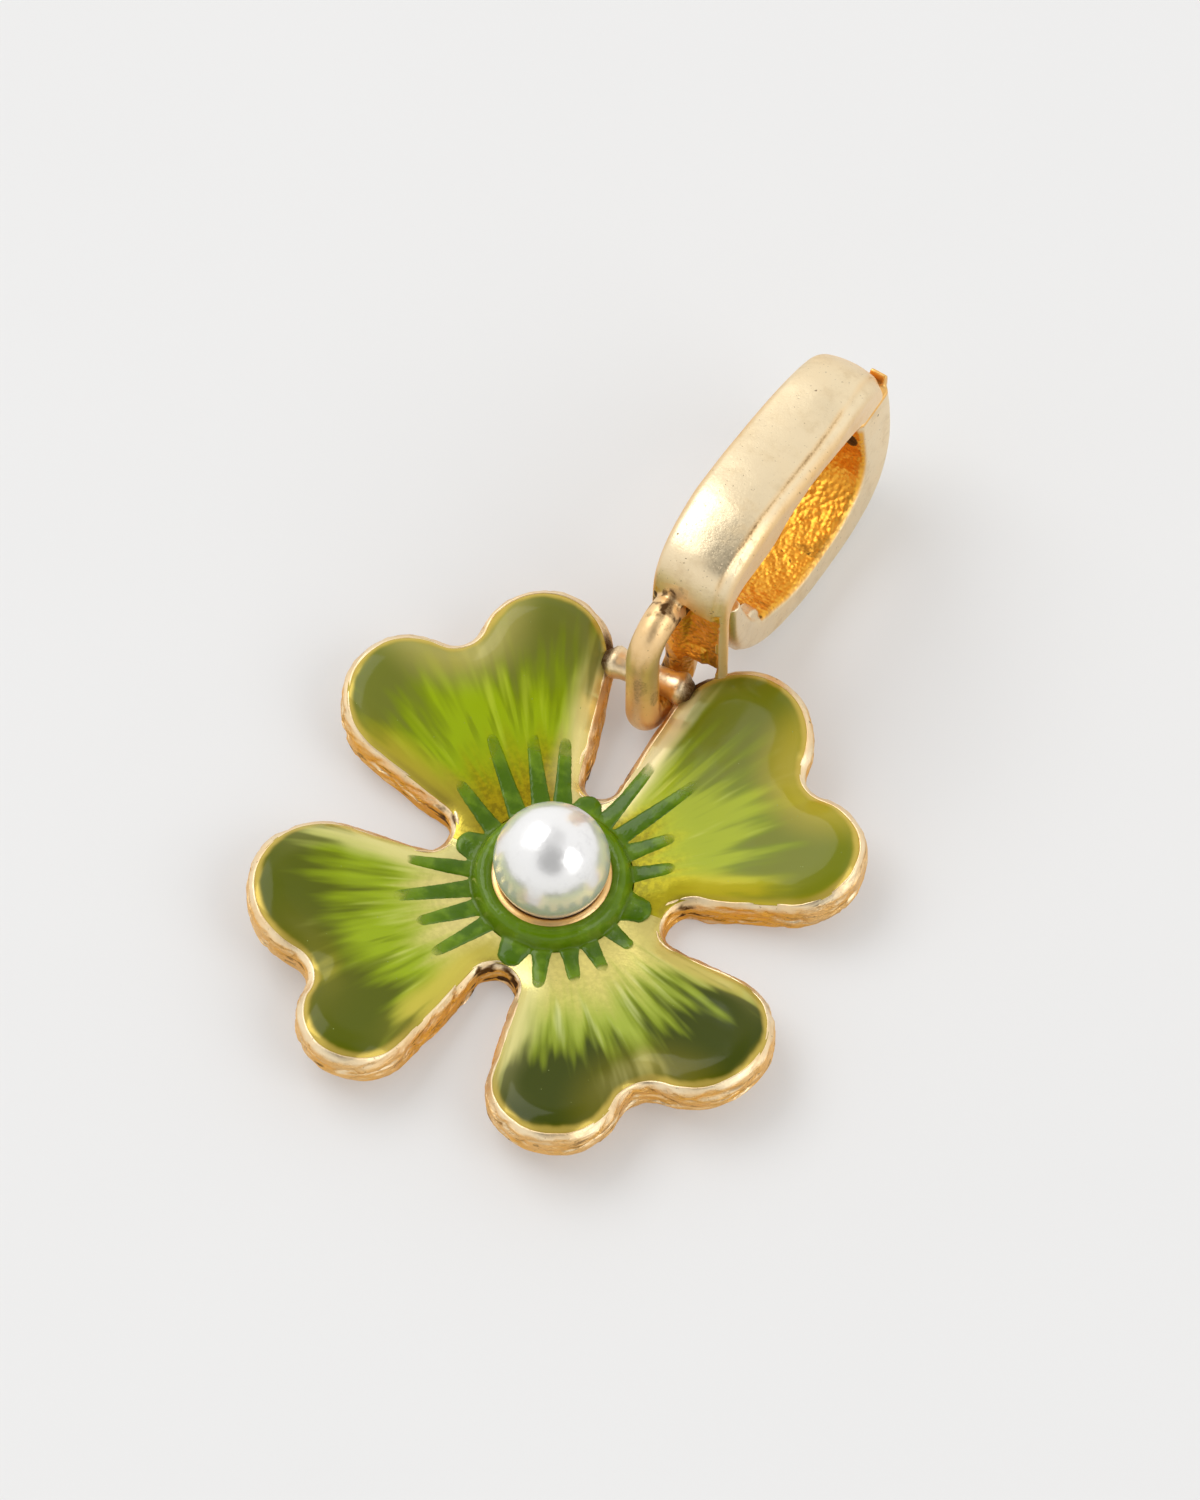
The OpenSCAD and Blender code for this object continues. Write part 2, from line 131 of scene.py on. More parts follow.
def noise(points: np.ndarray, seed: int) -> np.ndarray:
    """Return smooth noise on a unit lattice.

    Args:
        points: n by 3 array, already scaled so that one cell is one unit.
        seed: chooses the pattern.

    Returns:
        n values between -1 and 1.
    """
    base = np.floor(points).astype(np.int64)
    share = points - base
    share = share * share * (3 - 2 * share)
    total = np.zeros(len(points))
    for corner in np.ndindex(2, 2, 2):
        cell = base + np.array(corner)
        # Large odd factors keep the values of neighbouring cells apart
        mixed = (
            cell[:, 0] * 73856093
            ^ cell[:, 1] * 19349663
            ^ cell[:, 2] * 83492791
            ^ np.int64(seed * 668265263)
        )
        mixed = (mixed ^ (mixed >> 13)) * 1274126177
        value = ((mixed ^ (mixed >> 16)) & 0xFFFF) / 32767.5 - 1
        total += value * np.prod(np.where(corner, share, 1 - share), axis=1)
    return total


def layered_noise(points: np.ndarray, seed: int, layers: int = 3) -> np.ndarray:
    """Return noise with finer layers of half the strength each, between about -1 and 1."""
    total = sum(noise(points * 2**k, seed + k) / 2**k for k in range(layers))
    return total / 1.4


def edge_distance(points: np.ndarray, line: np.ndarray, batch: int = 4000) -> np.ndarray:
    """Return the distance of each point to the nearest part of an open line.

    Args:
        points: n by 2 array.
        line: m by 2 array of the line's points in order.
        batch: about how many points are measured at a time.

    Returns:
        n distances.
    """
    start, way = line[:-1], line[1:] - line[:-1]
    length = np.maximum((way**2).sum(axis=1), 1e-12)
    nearest = np.full(len(points), np.inf)
    for block in np.array_split(np.arange(len(points)), max(1, len(points) // batch)):
        offset = points[block, None, :] - start[None]
        share = np.clip((offset * way).sum(axis=2) / length, 0, 1)
        apart = np.linalg.norm(offset - share[..., None] * way, axis=2)
        nearest[block] = apart.min(axis=1)
    return nearest


def catmull_rom(rows: np.ndarray, steps: int) -> np.ndarray:
    """Return a smooth curve through the rows of a table, with a number of steps between rows."""
    ends = np.vstack([rows[:1], rows, rows[-1:]])
    curve = []
    for a, b, c, d in zip(ends[:-3], ends[1:-2], ends[2:-1], ends[3:]):
        t = (np.arange(steps) / steps)[:, None]
        square = (2 * a - 5 * b + 4 * c - d) * t**2
        cube = (3 * b - a - 3 * c + d) * t**3
        curve.append(0.5 * (2 * b + (c - a) * t + square + cube))
    return np.vstack(curve + [rows[-1:]])


def new_object(name: str, data: bpy.types.ID) -> bpy.types.Object:
    """Return a new object of the scene that holds the data."""
    obj = bpy.data.objects.new(name, data)
    bpy.context.scene.collection.objects.link(obj)
    return obj


class Shells:
    """Closed shells of one piece, gathered before they become a mesh."""

    def __init__(self) -> None:
        """Start with no shell."""
        self.points: list[np.ndarray] = []
        self.faces: Faces = []
        self.count = 0

    def add(self, points: np.ndarray, faces: Faces) -> None:
        """Add a shell with its own numbering of points."""
        self.points.append(points)
        self.faces += [tuple(i + self.count for i in face) for face in faces]
        self.count += len(points)

    def add_rings(self, rings: np.ndarray) -> None:
        """Add the closed surface through rings of points, where its end rings are drawn together.

        Args:
            rings: k by n by 3 array, each ring anticlockwise, from the bottom over the outside.
        """
        count, n = rings.shape[:2]
        here = np.arange(n)
        on = (here + 1) % n
        quads = [
            np.stack([k * n + here, k * n + on, (k + 1) * n + on, (k + 1) * n + here], 1)
            for k in range(count - 1)
        ]
        self.add(rings.reshape(-1, 3), [tuple(q) for q in np.vstack(quads).tolist()])

    def add_turned(self, profile: Profile, steps: int) -> None:
        """Add a shell turned round Z from a profile of radius and height, bottom first."""
        rings = [np.column_stack([circle(r, steps), np.full(steps, z)]) for r, z in profile]
        self.add_rings(np.array(rings))

    def build(self, name: str, turn_out: bool = False) -> bpy.types.Object:
        """Return the shells as one object, with points that coincide welded.

        Args:
            name: the object's name.
            turn_out: whether faces that may look inwards are turned round.

        Returns:
            The object.
        """
        mesh = bpy.data.meshes.new(name)
        mesh.from_pydata(np.vstack(self.points).tolist(), [], self.faces)
        work = bmesh.new()
        work.from_mesh(mesh)
        bmesh.ops.remove_doubles(work, verts=work.verts, dist=WELD)
        bmesh.ops.dissolve_degenerate(work, edges=work.edges, dist=SLIVER)
        if turn_out:
            bmesh.ops.recalc_face_normals(work, faces=work.faces)
        work.to_mesh(mesh)
        work.free()
        return new_object(name, mesh)


def places(obj: bpy.types.Object) -> np.ndarray:
    """Return the places of an object's points as an n by 3 array."""
    values = np.empty(len(obj.data.vertices) * 3)
    obj.data.vertices.foreach_get("co", values)
    return values.reshape(-1, 3)


def normals(obj: bpy.types.Object) -> np.ndarray:
    """Return the normals at an object's points as an n by 3 array."""
    values = np.empty(len(obj.data.vertices) * 3, dtype=np.float32)
    obj.data.vertex_normals.foreach_get("vector", values)
    return values.reshape(-1, 3).astype(float)


def shift(obj: bpy.types.Object, offsets: np.ndarray) -> None:
    """Move an object's points by their own offsets."""
    obj.data.vertices.foreach_set("co", (places(obj) + offsets).ravel())
    obj.data.update()


def mark(obj: bpy.types.Object, name: str, values: np.ndarray) -> None:
    """Store a number at each point of an object, for its finish to read."""
    layer = obj.data.attributes.new(name, "FLOAT", "POINT")
    layer.data.foreach_set("value", values.astype(np.float32))


def settle(obj: bpy.types.Object) -> None:
    """Turn an object's modifiers into its plain mesh."""
    graph = bpy.context.evaluated_depsgraph_get()
    mesh = bpy.data.meshes.new_from_object(obj.evaluated_get(graph))
    obj.modifiers.clear()
    obj.data = mesh


def join_tool(blank: bpy.types.Object, tool: bpy.types.Object, way: Joinery) -> None:
    """Add a tool's shape to a blank or cut it away, and remove the tool.

    Args:
        blank: the object that is worked.
        tool: the object whose shape is used.
        way: whether the shape is added or cut away.
    """
    step = blank.modifiers.new(way.name.lower(), "BOOLEAN")
    step.operation = way.value
    step.solver = "MANIFOLD"
    step.object = tool
    settle(blank)
    bpy.data.objects.remove(tool)


def fuse(obj: bpy.types.Object, grain: float, passes: int) -> None:
    """Melt an object's shells into one cast skin.

    Args:
        obj: the object.
        grain: size of the new faces.
        passes: rounds of smoothing afterwards.
    """
    melt = obj.modifiers.new("melt", "REMESH")
    melt.mode = "VOXEL"
    melt.voxel_size = grain
    melt.adaptivity = 0
    polish = obj.modifiers.new("polish", "SMOOTH")
    polish.factor = 0.5
    polish.iterations = passes
    settle(obj)


def finish_piece(
    obj: bpy.types.Object,
    body: Body,
    material: bpy.types.Material,
    nodes: list[str],
) -> None:
    """Bring a piece to metres, dress it, hang it on its body's empty and hide the part's nodes that
    it replaces.

    Args:
        obj: the piece, in millimetres.
        body: the body that it moves with.
        material: its finish.
        nodes: the part's nodes that it stands for.
    """
    obj.data.transform(Matrix.Scale(METRES, 4))
    obj.data.shade_smooth()
    obj.data.materials.clear()
    obj.data.materials.append(material)
    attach(obj, body.value)
    if nodes:
        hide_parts(*nodes)
    log.info("%s: %d faces on %s", obj.name, len(obj.data.polygons), body.value)


class Piece:
    """One piece of the charm, with its body, its material slot and the nodes that it replaces."""

    body: ClassVar[Body] = Body.CLOVER
    slot: ClassVar[Slot] = Slot.GOLD
    nodes: ClassVar[tuple[str, ...]] = ()

    def shape(self) -> bpy.types.Object:
        """Return the piece in millimetres, with the marks that its finish reads."""
        raise NotImplementedError

    def build(self, finish: bpy.types.Material) -> bpy.types.Object:
        """Build and dress the piece.

        Args:
            finish: its finish.

        Returns:
            The piece, in metres.
        """
        obj = self.shape()
        finish_piece(obj, self.body, finish, list(self.nodes))
        return obj


# ---- Finishes


class Wire:
    """A number's socket that adds Math nodes when it is used in an expression."""

    def __init__(self, tree: bpy.types.NodeTree, socket: bpy.types.NodeSocket) -> None:
        """Hold a socket of a tree."""
        self.tree = tree
        self.socket = socket

    def math(self, operation: str, *values: "Wire | float", clamp: bool = False) -> "Wire":
        """Add a Math node.

        Args:
            operation: what the node does.
            values: its numbers or wires, in order.
            clamp: whether the result is kept between 0 and 1.

        Returns:
            The node's result.
        """
        node = self.tree.nodes.new("ShaderNodeMath")
        node.operation = operation
        node.use_clamp = clamp
        for socket, value in zip(node.inputs, values):
            if isinstance(value, Wire):
                self.tree.links.new(value.socket, socket)
            else:
                socket.default_value = value
        return Wire(self.tree, node.outputs[0])

    def __add__(self, other: "Wire | float") -> "Wire":
        """Add."""
        return self.math("ADD", self, other)

    def __radd__(self, other: float) -> "Wire":
        """Add to a number."""
        return self.math("ADD", other, self)

    def __sub__(self, other: "Wire | float") -> "Wire":
        """Subtract."""
        return self.math("SUBTRACT", self, other)

    def __rsub__(self, other: float) -> "Wire":
        """Subtract from a number."""
        return self.math("SUBTRACT", other, self)

    def __mul__(self, other: "Wire | float") -> "Wire":
        """Multiply."""
        return self.math("MULTIPLY", self, other)

    def __rmul__(self, other: float) -> "Wire":
        """Multiply a number."""
        return self.math("MULTIPLY", other, self)

    def clamped(self) -> "Wire":
        """Keep the value between 0 and 1."""
        return self.math("ADD", self, 0.0, clamp=True)

    def larger(self, other: "Wire | float") -> "Wire":
        """Return the larger of two values."""
        return self.math("MAXIMUM", self, other)


class Shader:
    """A material under construction, with one method for every node that isn't maths."""

    def __init__(self, name: str) -> None:
        """Start a material with an empty tree."""
        self.material = bpy.data.materials.new(name)
        self.material.use_nodes = True
        self.tree = self.material.node_tree
        self.tree.nodes.clear()

    def node(
        self, kind: str, settings: dict[str, object], inputs: dict[str | int, object]
    ) -> bpy.types.Node:
        """Add a node.

        Args:
            kind: the node's type.
            settings: its properties, set first.
            inputs: values or wires by socket name or number.

        Returns:
            The node.
        """
        node = self.tree.nodes.new(kind)
        for name, value in settings.items():
            setattr(node, name, value)
        for name, value in inputs.items():
            socket = node.inputs[name]
            if isinstance(value, Wire):
                self.tree.links.new(value.socket, socket)
            elif isinstance(value, tuple) and len(value) == 3 and socket.type == "RGBA":
                socket.default_value = (*value, 1.0)
            else:
                socket.default_value = value
        return node

    def wire(self, node: bpy.types.Node, output: str | int = 0) -> Wire:
        """Return a node's output as a wire."""
        return Wire(self.tree, node.outputs[output])

    def millimetres(self) -> Wire:
        """Return the place on the piece in millimetres."""
        place = self.wire(self.node("ShaderNodeTexCoord", {}, {}), "Object")
        scale = {"operation": "SCALE"}
        return self.wire(self.node("ShaderNodeVectorMath", scale, {0: place, "Scale": 1 / METRES}))

    def stretched(self, place: Wire, factors: Point) -> Wire:
        """Return a place multiplied along each axis."""
        times = {"operation": "MULTIPLY"}
        return self.wire(self.node("ShaderNodeVectorMath", times, {0: place, 1: factors}))

    def mark(self, name: str) -> Wire:
        """Return a number stored at the piece's points."""
        node = self.node("ShaderNodeAttribute", {"attribute_name": name}, {})
        return self.wire(node, "Fac")

    def noise(self, place: Wire, scale: float, detail: float = 2.0, rough: float = 0.5) -> Wire:
        """Return a noise texture.

        Args:
            place: where it is read, in millimetres.
            scale: how many waves fit in a millimetre.
            detail: number of finer layers.
            rough: how strong the finer layers are.

        Returns:
            Values between 0 and 1, around 0.5.
        """
        values = {"Vector": place, "Scale": scale, "Detail": detail, "Roughness": rough}
        return self.wire(self.node("ShaderNodeTexNoise", {}, values))

    def step(self, value: Wire, low: float, high: float) -> Wire:
        """Return a smooth step from 0 at low to 1 at high."""
        settings = {"interpolation_type": "SMOOTHSTEP", "clamp": True}
        values = {"Value": value, "From Min": low, "From Max": high}
        return self.wire(self.node("ShaderNodeMapRange", settings, values))

    def mix(self, share: Wire | float, first: Wire | Colour, second: Wire | Colour) -> Wire:
        """Return a colour between two colours."""
        settings = {"data_type": "RGBA", "blend_type": "MIX"}
        return self.wire(self.node("ShaderNodeMix", settings, {0: share, 6: first, 7: second}), 2)

    def beads(self, place: Wire, scale: float, smoothness: float) -> Wire:
        """Return the distance to the nearest bead of a field of rounded beads."""
        values = {"Vector": place, "Scale": scale, "Smoothness": smoothness}
        node = self.node("ShaderNodeTexVoronoi", {"feature": "SMOOTH_F1"}, values)
        return self.wire(node, "Distance")

    def bump(self, height: Wire, strength: float) -> Wire:
        """Return a normal bent by a height in millimetres."""
        values = {"Height": height, "Strength": strength, "Distance": METRES}
        return self.wire(self.node("ShaderNodeBump", {}, values))

    def close(self, values: dict[str | int, object]) -> bpy.types.Material:
        """Finish the material with its surface shader and return it."""
        surface = self.node("ShaderNodeBsdfPrincipled", {}, values)
        self.node("ShaderNodeOutputMaterial", {}, {"Surface": self.wire(surface)})
        return self.material


@dataclass(frozen=True)
class GoldFinish:
    """Satin cast gold: pale where it is rubbed, painted orange reflection in its recesses, brown
    where it tarnished.

    It reads from the piece's points the mark of painted orange reflection and orange tone, the mark
    of tarnish and painted shade, and the marks wall, hammer and satin.
    """

    name: str = "satin_gold"
    pale: Colour = (0.89, 0.73, 0.48)
    worn: Colour = (0.64, 0.48, 0.27)
    # Orange painted in recesses and on shaded walls as reflection of gold on gold, also used as an
    # orange tone
    painted_bounce_and_tone: Colour = (0.86, 0.43, 0.050)
    # Brown of tarnish, also used for a painted dark spot of shade on the gate
    tarnish_and_painted_shade: Colour = (0.10, 0.045, 0.012)
    roughness: float = 0.38
    grain_height: float = 0.014
    speck_from: float = 0.76
    speck_to: float = 0.83

    def make(self) -> bpy.types.Material:
        """Return the material."""
        s = Shader(self.name)
        place = s.millimetres()
        cloud = s.noise(place, 0.55, 3.0)
        grain = s.noise(place, 11.0, 4.0, 0.6)
        specks = s.step(s.noise(place, 4.2, 1.0), self.speck_from, self.speck_to)
        # Painted orange reflection in recesses, read from the piece's mark and clouded
        painted_bounce_and_tone = (s.mark("painted_bounce_and_tone") + (cloud - 0.5) * 0.22).clamped()
        # Tarnish stains, and on the gate a painted dark spot of shade, read from the piece's mark
        stain = s.step(s.mark("tarnish_and_painted_shade") + (grain - 0.5) * 0.5 + (cloud - 0.5) * 0.5, 0.25, 0.95)
        pits = s.step(s.noise(place, 8.5, 1.0), 0.70, 0.76)
        stain = stain.larger(specks * 0.75).larger(pits * 0.3)
        patina = s.step(s.noise(place, 1.4, 5.0, 0.68), 0.46, 0.74) * 0.42
        patina = patina * (1.0 - s.mark("wall") * 0.8)
        pale = s.mix(patina, self.pale, self.worn)
        colour = s.mix(painted_bounce_and_tone, pale, self.painted_bounce_and_tone)
        colour = s.mix(stain, colour, self.tarnish_and_painted_shade)
        rough = self.roughness + (grain - 0.5) * 0.26 + (cloud - 0.5) * 0.24
        rough = rough + stain * 0.22 + patina * 0.2
        folds = s.noise(s.stretched(place, (1.0, 1.0, 3.0)), 1.5, 5.0, 0.62) - 0.5
        creases = s.step(folds.math("ABSOLUTE", folds), 0.0, 0.09)
        height = grain * self.grain_height + cloud * 0.07 - specks * 0.02 - pits * 0.008
        height = height + (folds * 0.28 + creases * 0.055) * s.mark("wall")
        height = height - s.beads(place, 6.0, 0.6) * s.mark("hammer") * 0.075
        return s.close(
            {
                "Base Color": colour,
                "Metallic": (1.0 - s.mark("satin") * 0.6).clamped(),
                "Roughness": rough.clamped(),
                "Normal": s.bump(height, 0.6),
            }
        )


@dataclass(frozen=True)
class LeafEnamelFinish:
    """Translucent enamel over gold: dark olive lobes that feather through lime to a pale heart."""

    name: str
    heart: Colour
    seed: float
    first_side: Colour
    last_side: Colour
    cleft: Colour
    dark: Colour = (0.082, 0.092, 0.002)
    green: Colour = (0.165, 0.215, 0.002)
    middle: Colour = (0.315, 0.440, 0.002)
    light: Colour = (0.570, 0.620, 0.110)
    rim: Colour = (0.620, 0.450, 0.090)
    outer: Colour = (0.300, 0.255, 0.006)
    grit: float = 0.62
    heart_end: float = 5.2
    shrink: float = 0.0

    def make(self) -> bpy.types.Material:
        """Return the material, which reads the marks edge, lobe, cleft, lean, radius and turn."""
        s = Shader(self.name)
        place = s.millimetres()
        radius, turn = s.mark("radius"), s.mark("turn")
        edge, lobe = s.mark("edge"), s.mark("lobe")
        feather = self.fan(s, turn * 0.20, radius * 0.32, 0.0)
        hairs = self.fan(s, turn * 0.46, radius * 0.42, 5.0)
        broad = s.noise(place, 0.55, 2.0) - 0.5
        fine = s.noise(place, 14.0, 3.0) - 0.5
        depth = lobe - self.shrink + feather * 3.8 + hairs * 3.6 + broad * 0.8
        strands = s.step(hairs + feather * 0.5, 0.0, 0.16) * s.step(radius, 5.0, 6.4)
        green = s.step(depth, -1.8, 0.1).larger(strands * 0.8)
        dark = s.step(depth, -0.6, 1.05)
        border = 1.0 - s.step(edge + broad * 0.3 + feather * 0.3, 0.06, 0.38)
        light = s.step(feather - hairs * 0.6 + broad * 0.2, 0.05, 0.3) * s.step(radius, 3.9, 5.0)
        light = light * (1.0 - s.step(radius, 7.6, 9.2)) * (1.0 - dark * 0.5)
        heart = 1.0 - s.step(radius + feather * 2.0 + hairs, 3.4, self.heart_end)
        side = 1.0 - s.step(edge + feather * 0.6 + broad * 0.4, 0.25, 1.25)
        side = side * (1.0 - s.step(radius, 7.0, 9.8))
        flank = s.mix(s.step(s.mark("lean"), -0.2, 0.2), self.first_side, self.last_side)
        grit = s.step(s.noise(place, 5.5, 3.0, 0.6), 0.35, 0.65)
        gilt = s.mix(grit, tuple(self.grit * part for part in self.heart), self.heart)
        lime = s.mix(light * 0.8, self.middle, self.light)
        body = s.mix(heart, lime, gilt)
        body = s.mix(green * (1.0 - heart * 0.5) * 0.85, body, self.green)
        body = s.mix(dark * 0.97, body, self.dark)
        body = s.mix(s.mark("cleft") * 0.85, body, self.cleft)
        body = s.mix(border * s.step(lobe, -0.8, 0.2) * 0.8, body, self.outer)
        body = s.mix(side * (1.0 - dark * 0.75) * 0.9, body, flank)
        rim = 1.0 - s.step(edge + feather * 0.15 + hairs * 0.1, 0.1, 0.3)
        body = s.mix(rim * (1.0 - side * 0.7) * 0.8, body, self.rim)
        height = broad * 0.05 + fine * (0.0012 + 0.010 * heart)
        return s.close(
            {
                "Base Color": body,
                "Metallic": (heart * 0.35 + rim * 0.3 + side * 0.12).clamped(),
                "Roughness": (0.12 + heart * 0.10 + fine * 0.05).clamped(),
                "Normal": s.bump(height, 0.5),
                "IOR": 1.5,
                "Specular IOR Level": 0.17,
            }
        )

    def fan(self, s: Shader, turn: Wire, radius: Wire, layer: float) -> Wire:
        """Return streaks between about -0.5 and 0.5 that run out from the hub."""
        values = {"X": turn, "Y": radius, "Z": self.seed + layer}
        return s.noise(s.wire(s.node("ShaderNodeCombineXYZ", {}, values)), 1.0, 1.4, 0.45) - 0.5


@dataclass(frozen=True)
class HubEnamelFinish:
    """Green enamel of the ring and its strokes, which thins out at the strokes' tips."""

    name: str = "hub_green"
    ring: Colour = (0.105, 0.195, 0.002)
    stroke: Colour = (0.062, 0.135, 0.0005)
    bright: Colour = (0.200, 0.330, 0.020)
    groove: Colour = (0.060, 0.110, 0.001)
    tip: Colour = (0.240, 0.370, 0.012)

    def make(self) -> bpy.types.Material:
        """Return the material, which reads the marks tip, groove and outer."""
        s = Shader(self.name)
        place = s.millimetres()
        cloud = s.noise(place, 1.6, 3.0) - 0.5
        fine = s.noise(place, 12.0, 3.0) - 0.5
        tip, groove, outer = s.mark("tip"), s.mark("groove"), s.mark("outer")
        colour = s.mix(outer, self.ring, self.stroke)
        colour = s.mix(s.step(cloud, -0.05, 0.3) * 0.6, colour, self.bright)
        colour = s.mix(groove, colour, self.groove)
        colour = s.mix(s.step(tip + cloud * 0.4, 0.45, 1.0) * 0.7, colour, self.tip)
        cover = 1.0 - s.step(tip + cloud * 0.6, 0.70, 1.04)
        return s.close(
            {
                "Base Color": colour,
                "Roughness": (0.10 + outer * 0.06 + fine * 0.05).clamped(),
                "Alpha": cover,
                "Normal": s.bump(cloud * 0.09 + fine * 0.003, 0.6),
                "IOR": 1.5,
                "Specular IOR Level": 0.26,
            }
        )


@dataclass(frozen=True)
class PearlFinish:
    """White imitation pearl with a satin lustre and a faint painted reflection of its gold cup low
    down.
    """

    name: str = "pearl_lustre"
    white: Colour = (0.86, 0.85, 0.84)
    grey: Colour = (0.46, 0.45, 0.46)
    # Painted reflection of the gold cup on the pearl's lower half
    painted_cup_reflection: Colour = (0.88, 0.76, 0.56)

    def make(self) -> bpy.types.Material:
        """Return the material, which reads the mark height."""
        s = Shader(self.name)
        place = s.millimetres()
        cloud = s.noise(place, 0.6, 4.0, 0.6) - 0.5
        fine = s.noise(place, 6.0, 4.0, 0.65) - 0.5
        height = s.mark("height")
        colour = s.mix(s.step(cloud + fine * 0.4, 0.02, 0.35) * 0.5, self.white, self.grey)
        # Painted reflection of the cup: cream on the lower half
        colour = s.mix(1.0 - s.step(height + cloud * 0.6, -1.3, -0.2), colour, self.painted_cup_reflection)
        return s.close(
            {
                "Base Color": colour,
                "Metallic": 0.5,
                "Roughness": (0.22 + fine * 0.12).clamped(),
                "Normal": s.bump(cloud * 0.05 + fine * 0.008, 0.6),
                "IOR": 1.6,
                "Coat Weight": 0.5,
                "Coat Roughness": 0.10,
                "Sheen Weight": 0.1,
            }
        )


@dataclass(frozen=True)
class BubbleFinish:
    """Glassy skin of the pinhead bubbles in the enamel."""

    name: str = "enamel_bubble"
    colour: Colour = (0.42, 0.50, 0.14)
    shade: Colour = (0.16, 0.20, 0.02)

    def make(self) -> bpy.types.Material:
        """Return the material."""
        s = Shader(self.name)
        colour = s.mix(s.noise(s.millimetres(), 3.0), self.colour, self.shade)
        return s.close({"Base Color": colour, "Roughness": 0.08, "IOR": 1.5, "Coat Weight": 0.4})


@dataclass(frozen=True)
class FloorFinish:
    """Plain pale paper that the charm lies on."""

    name: str = "pale_paper"
    colour: Colour = (0.54, 0.54, 0.54)
    shade: Colour = (0.53, 0.53, 0.53)
    glow: Colour = (0.240, 0.236, 0.230)

    def make(self) -> bpy.types.Material:
        """Return the material."""
        s = Shader(self.name)
        cloud = s.noise(s.millimetres(), 0.08) - 0.5
        colour = s.mix(s.step(cloud, -0.5, 0.5), self.colour, self.shade)
        values = {"Roughness": 0.75, "Emission Color": (*self.glow, 1.0), "Emission Strength": 1.0}
        return s.close({"Base Color": colour, **values})


# ---- The clover's outline


@dataclass(frozen=True)
class Lobe:
    """One rounded lobe of a leaf: direction and distance of its middle from the hub, and radius."""

    turn: float
    reach: float
    radius: float

    def middle(self) -> np.ndarray:
        """Return the lobe's middle."""
        return polar(self.reach, self.turn)


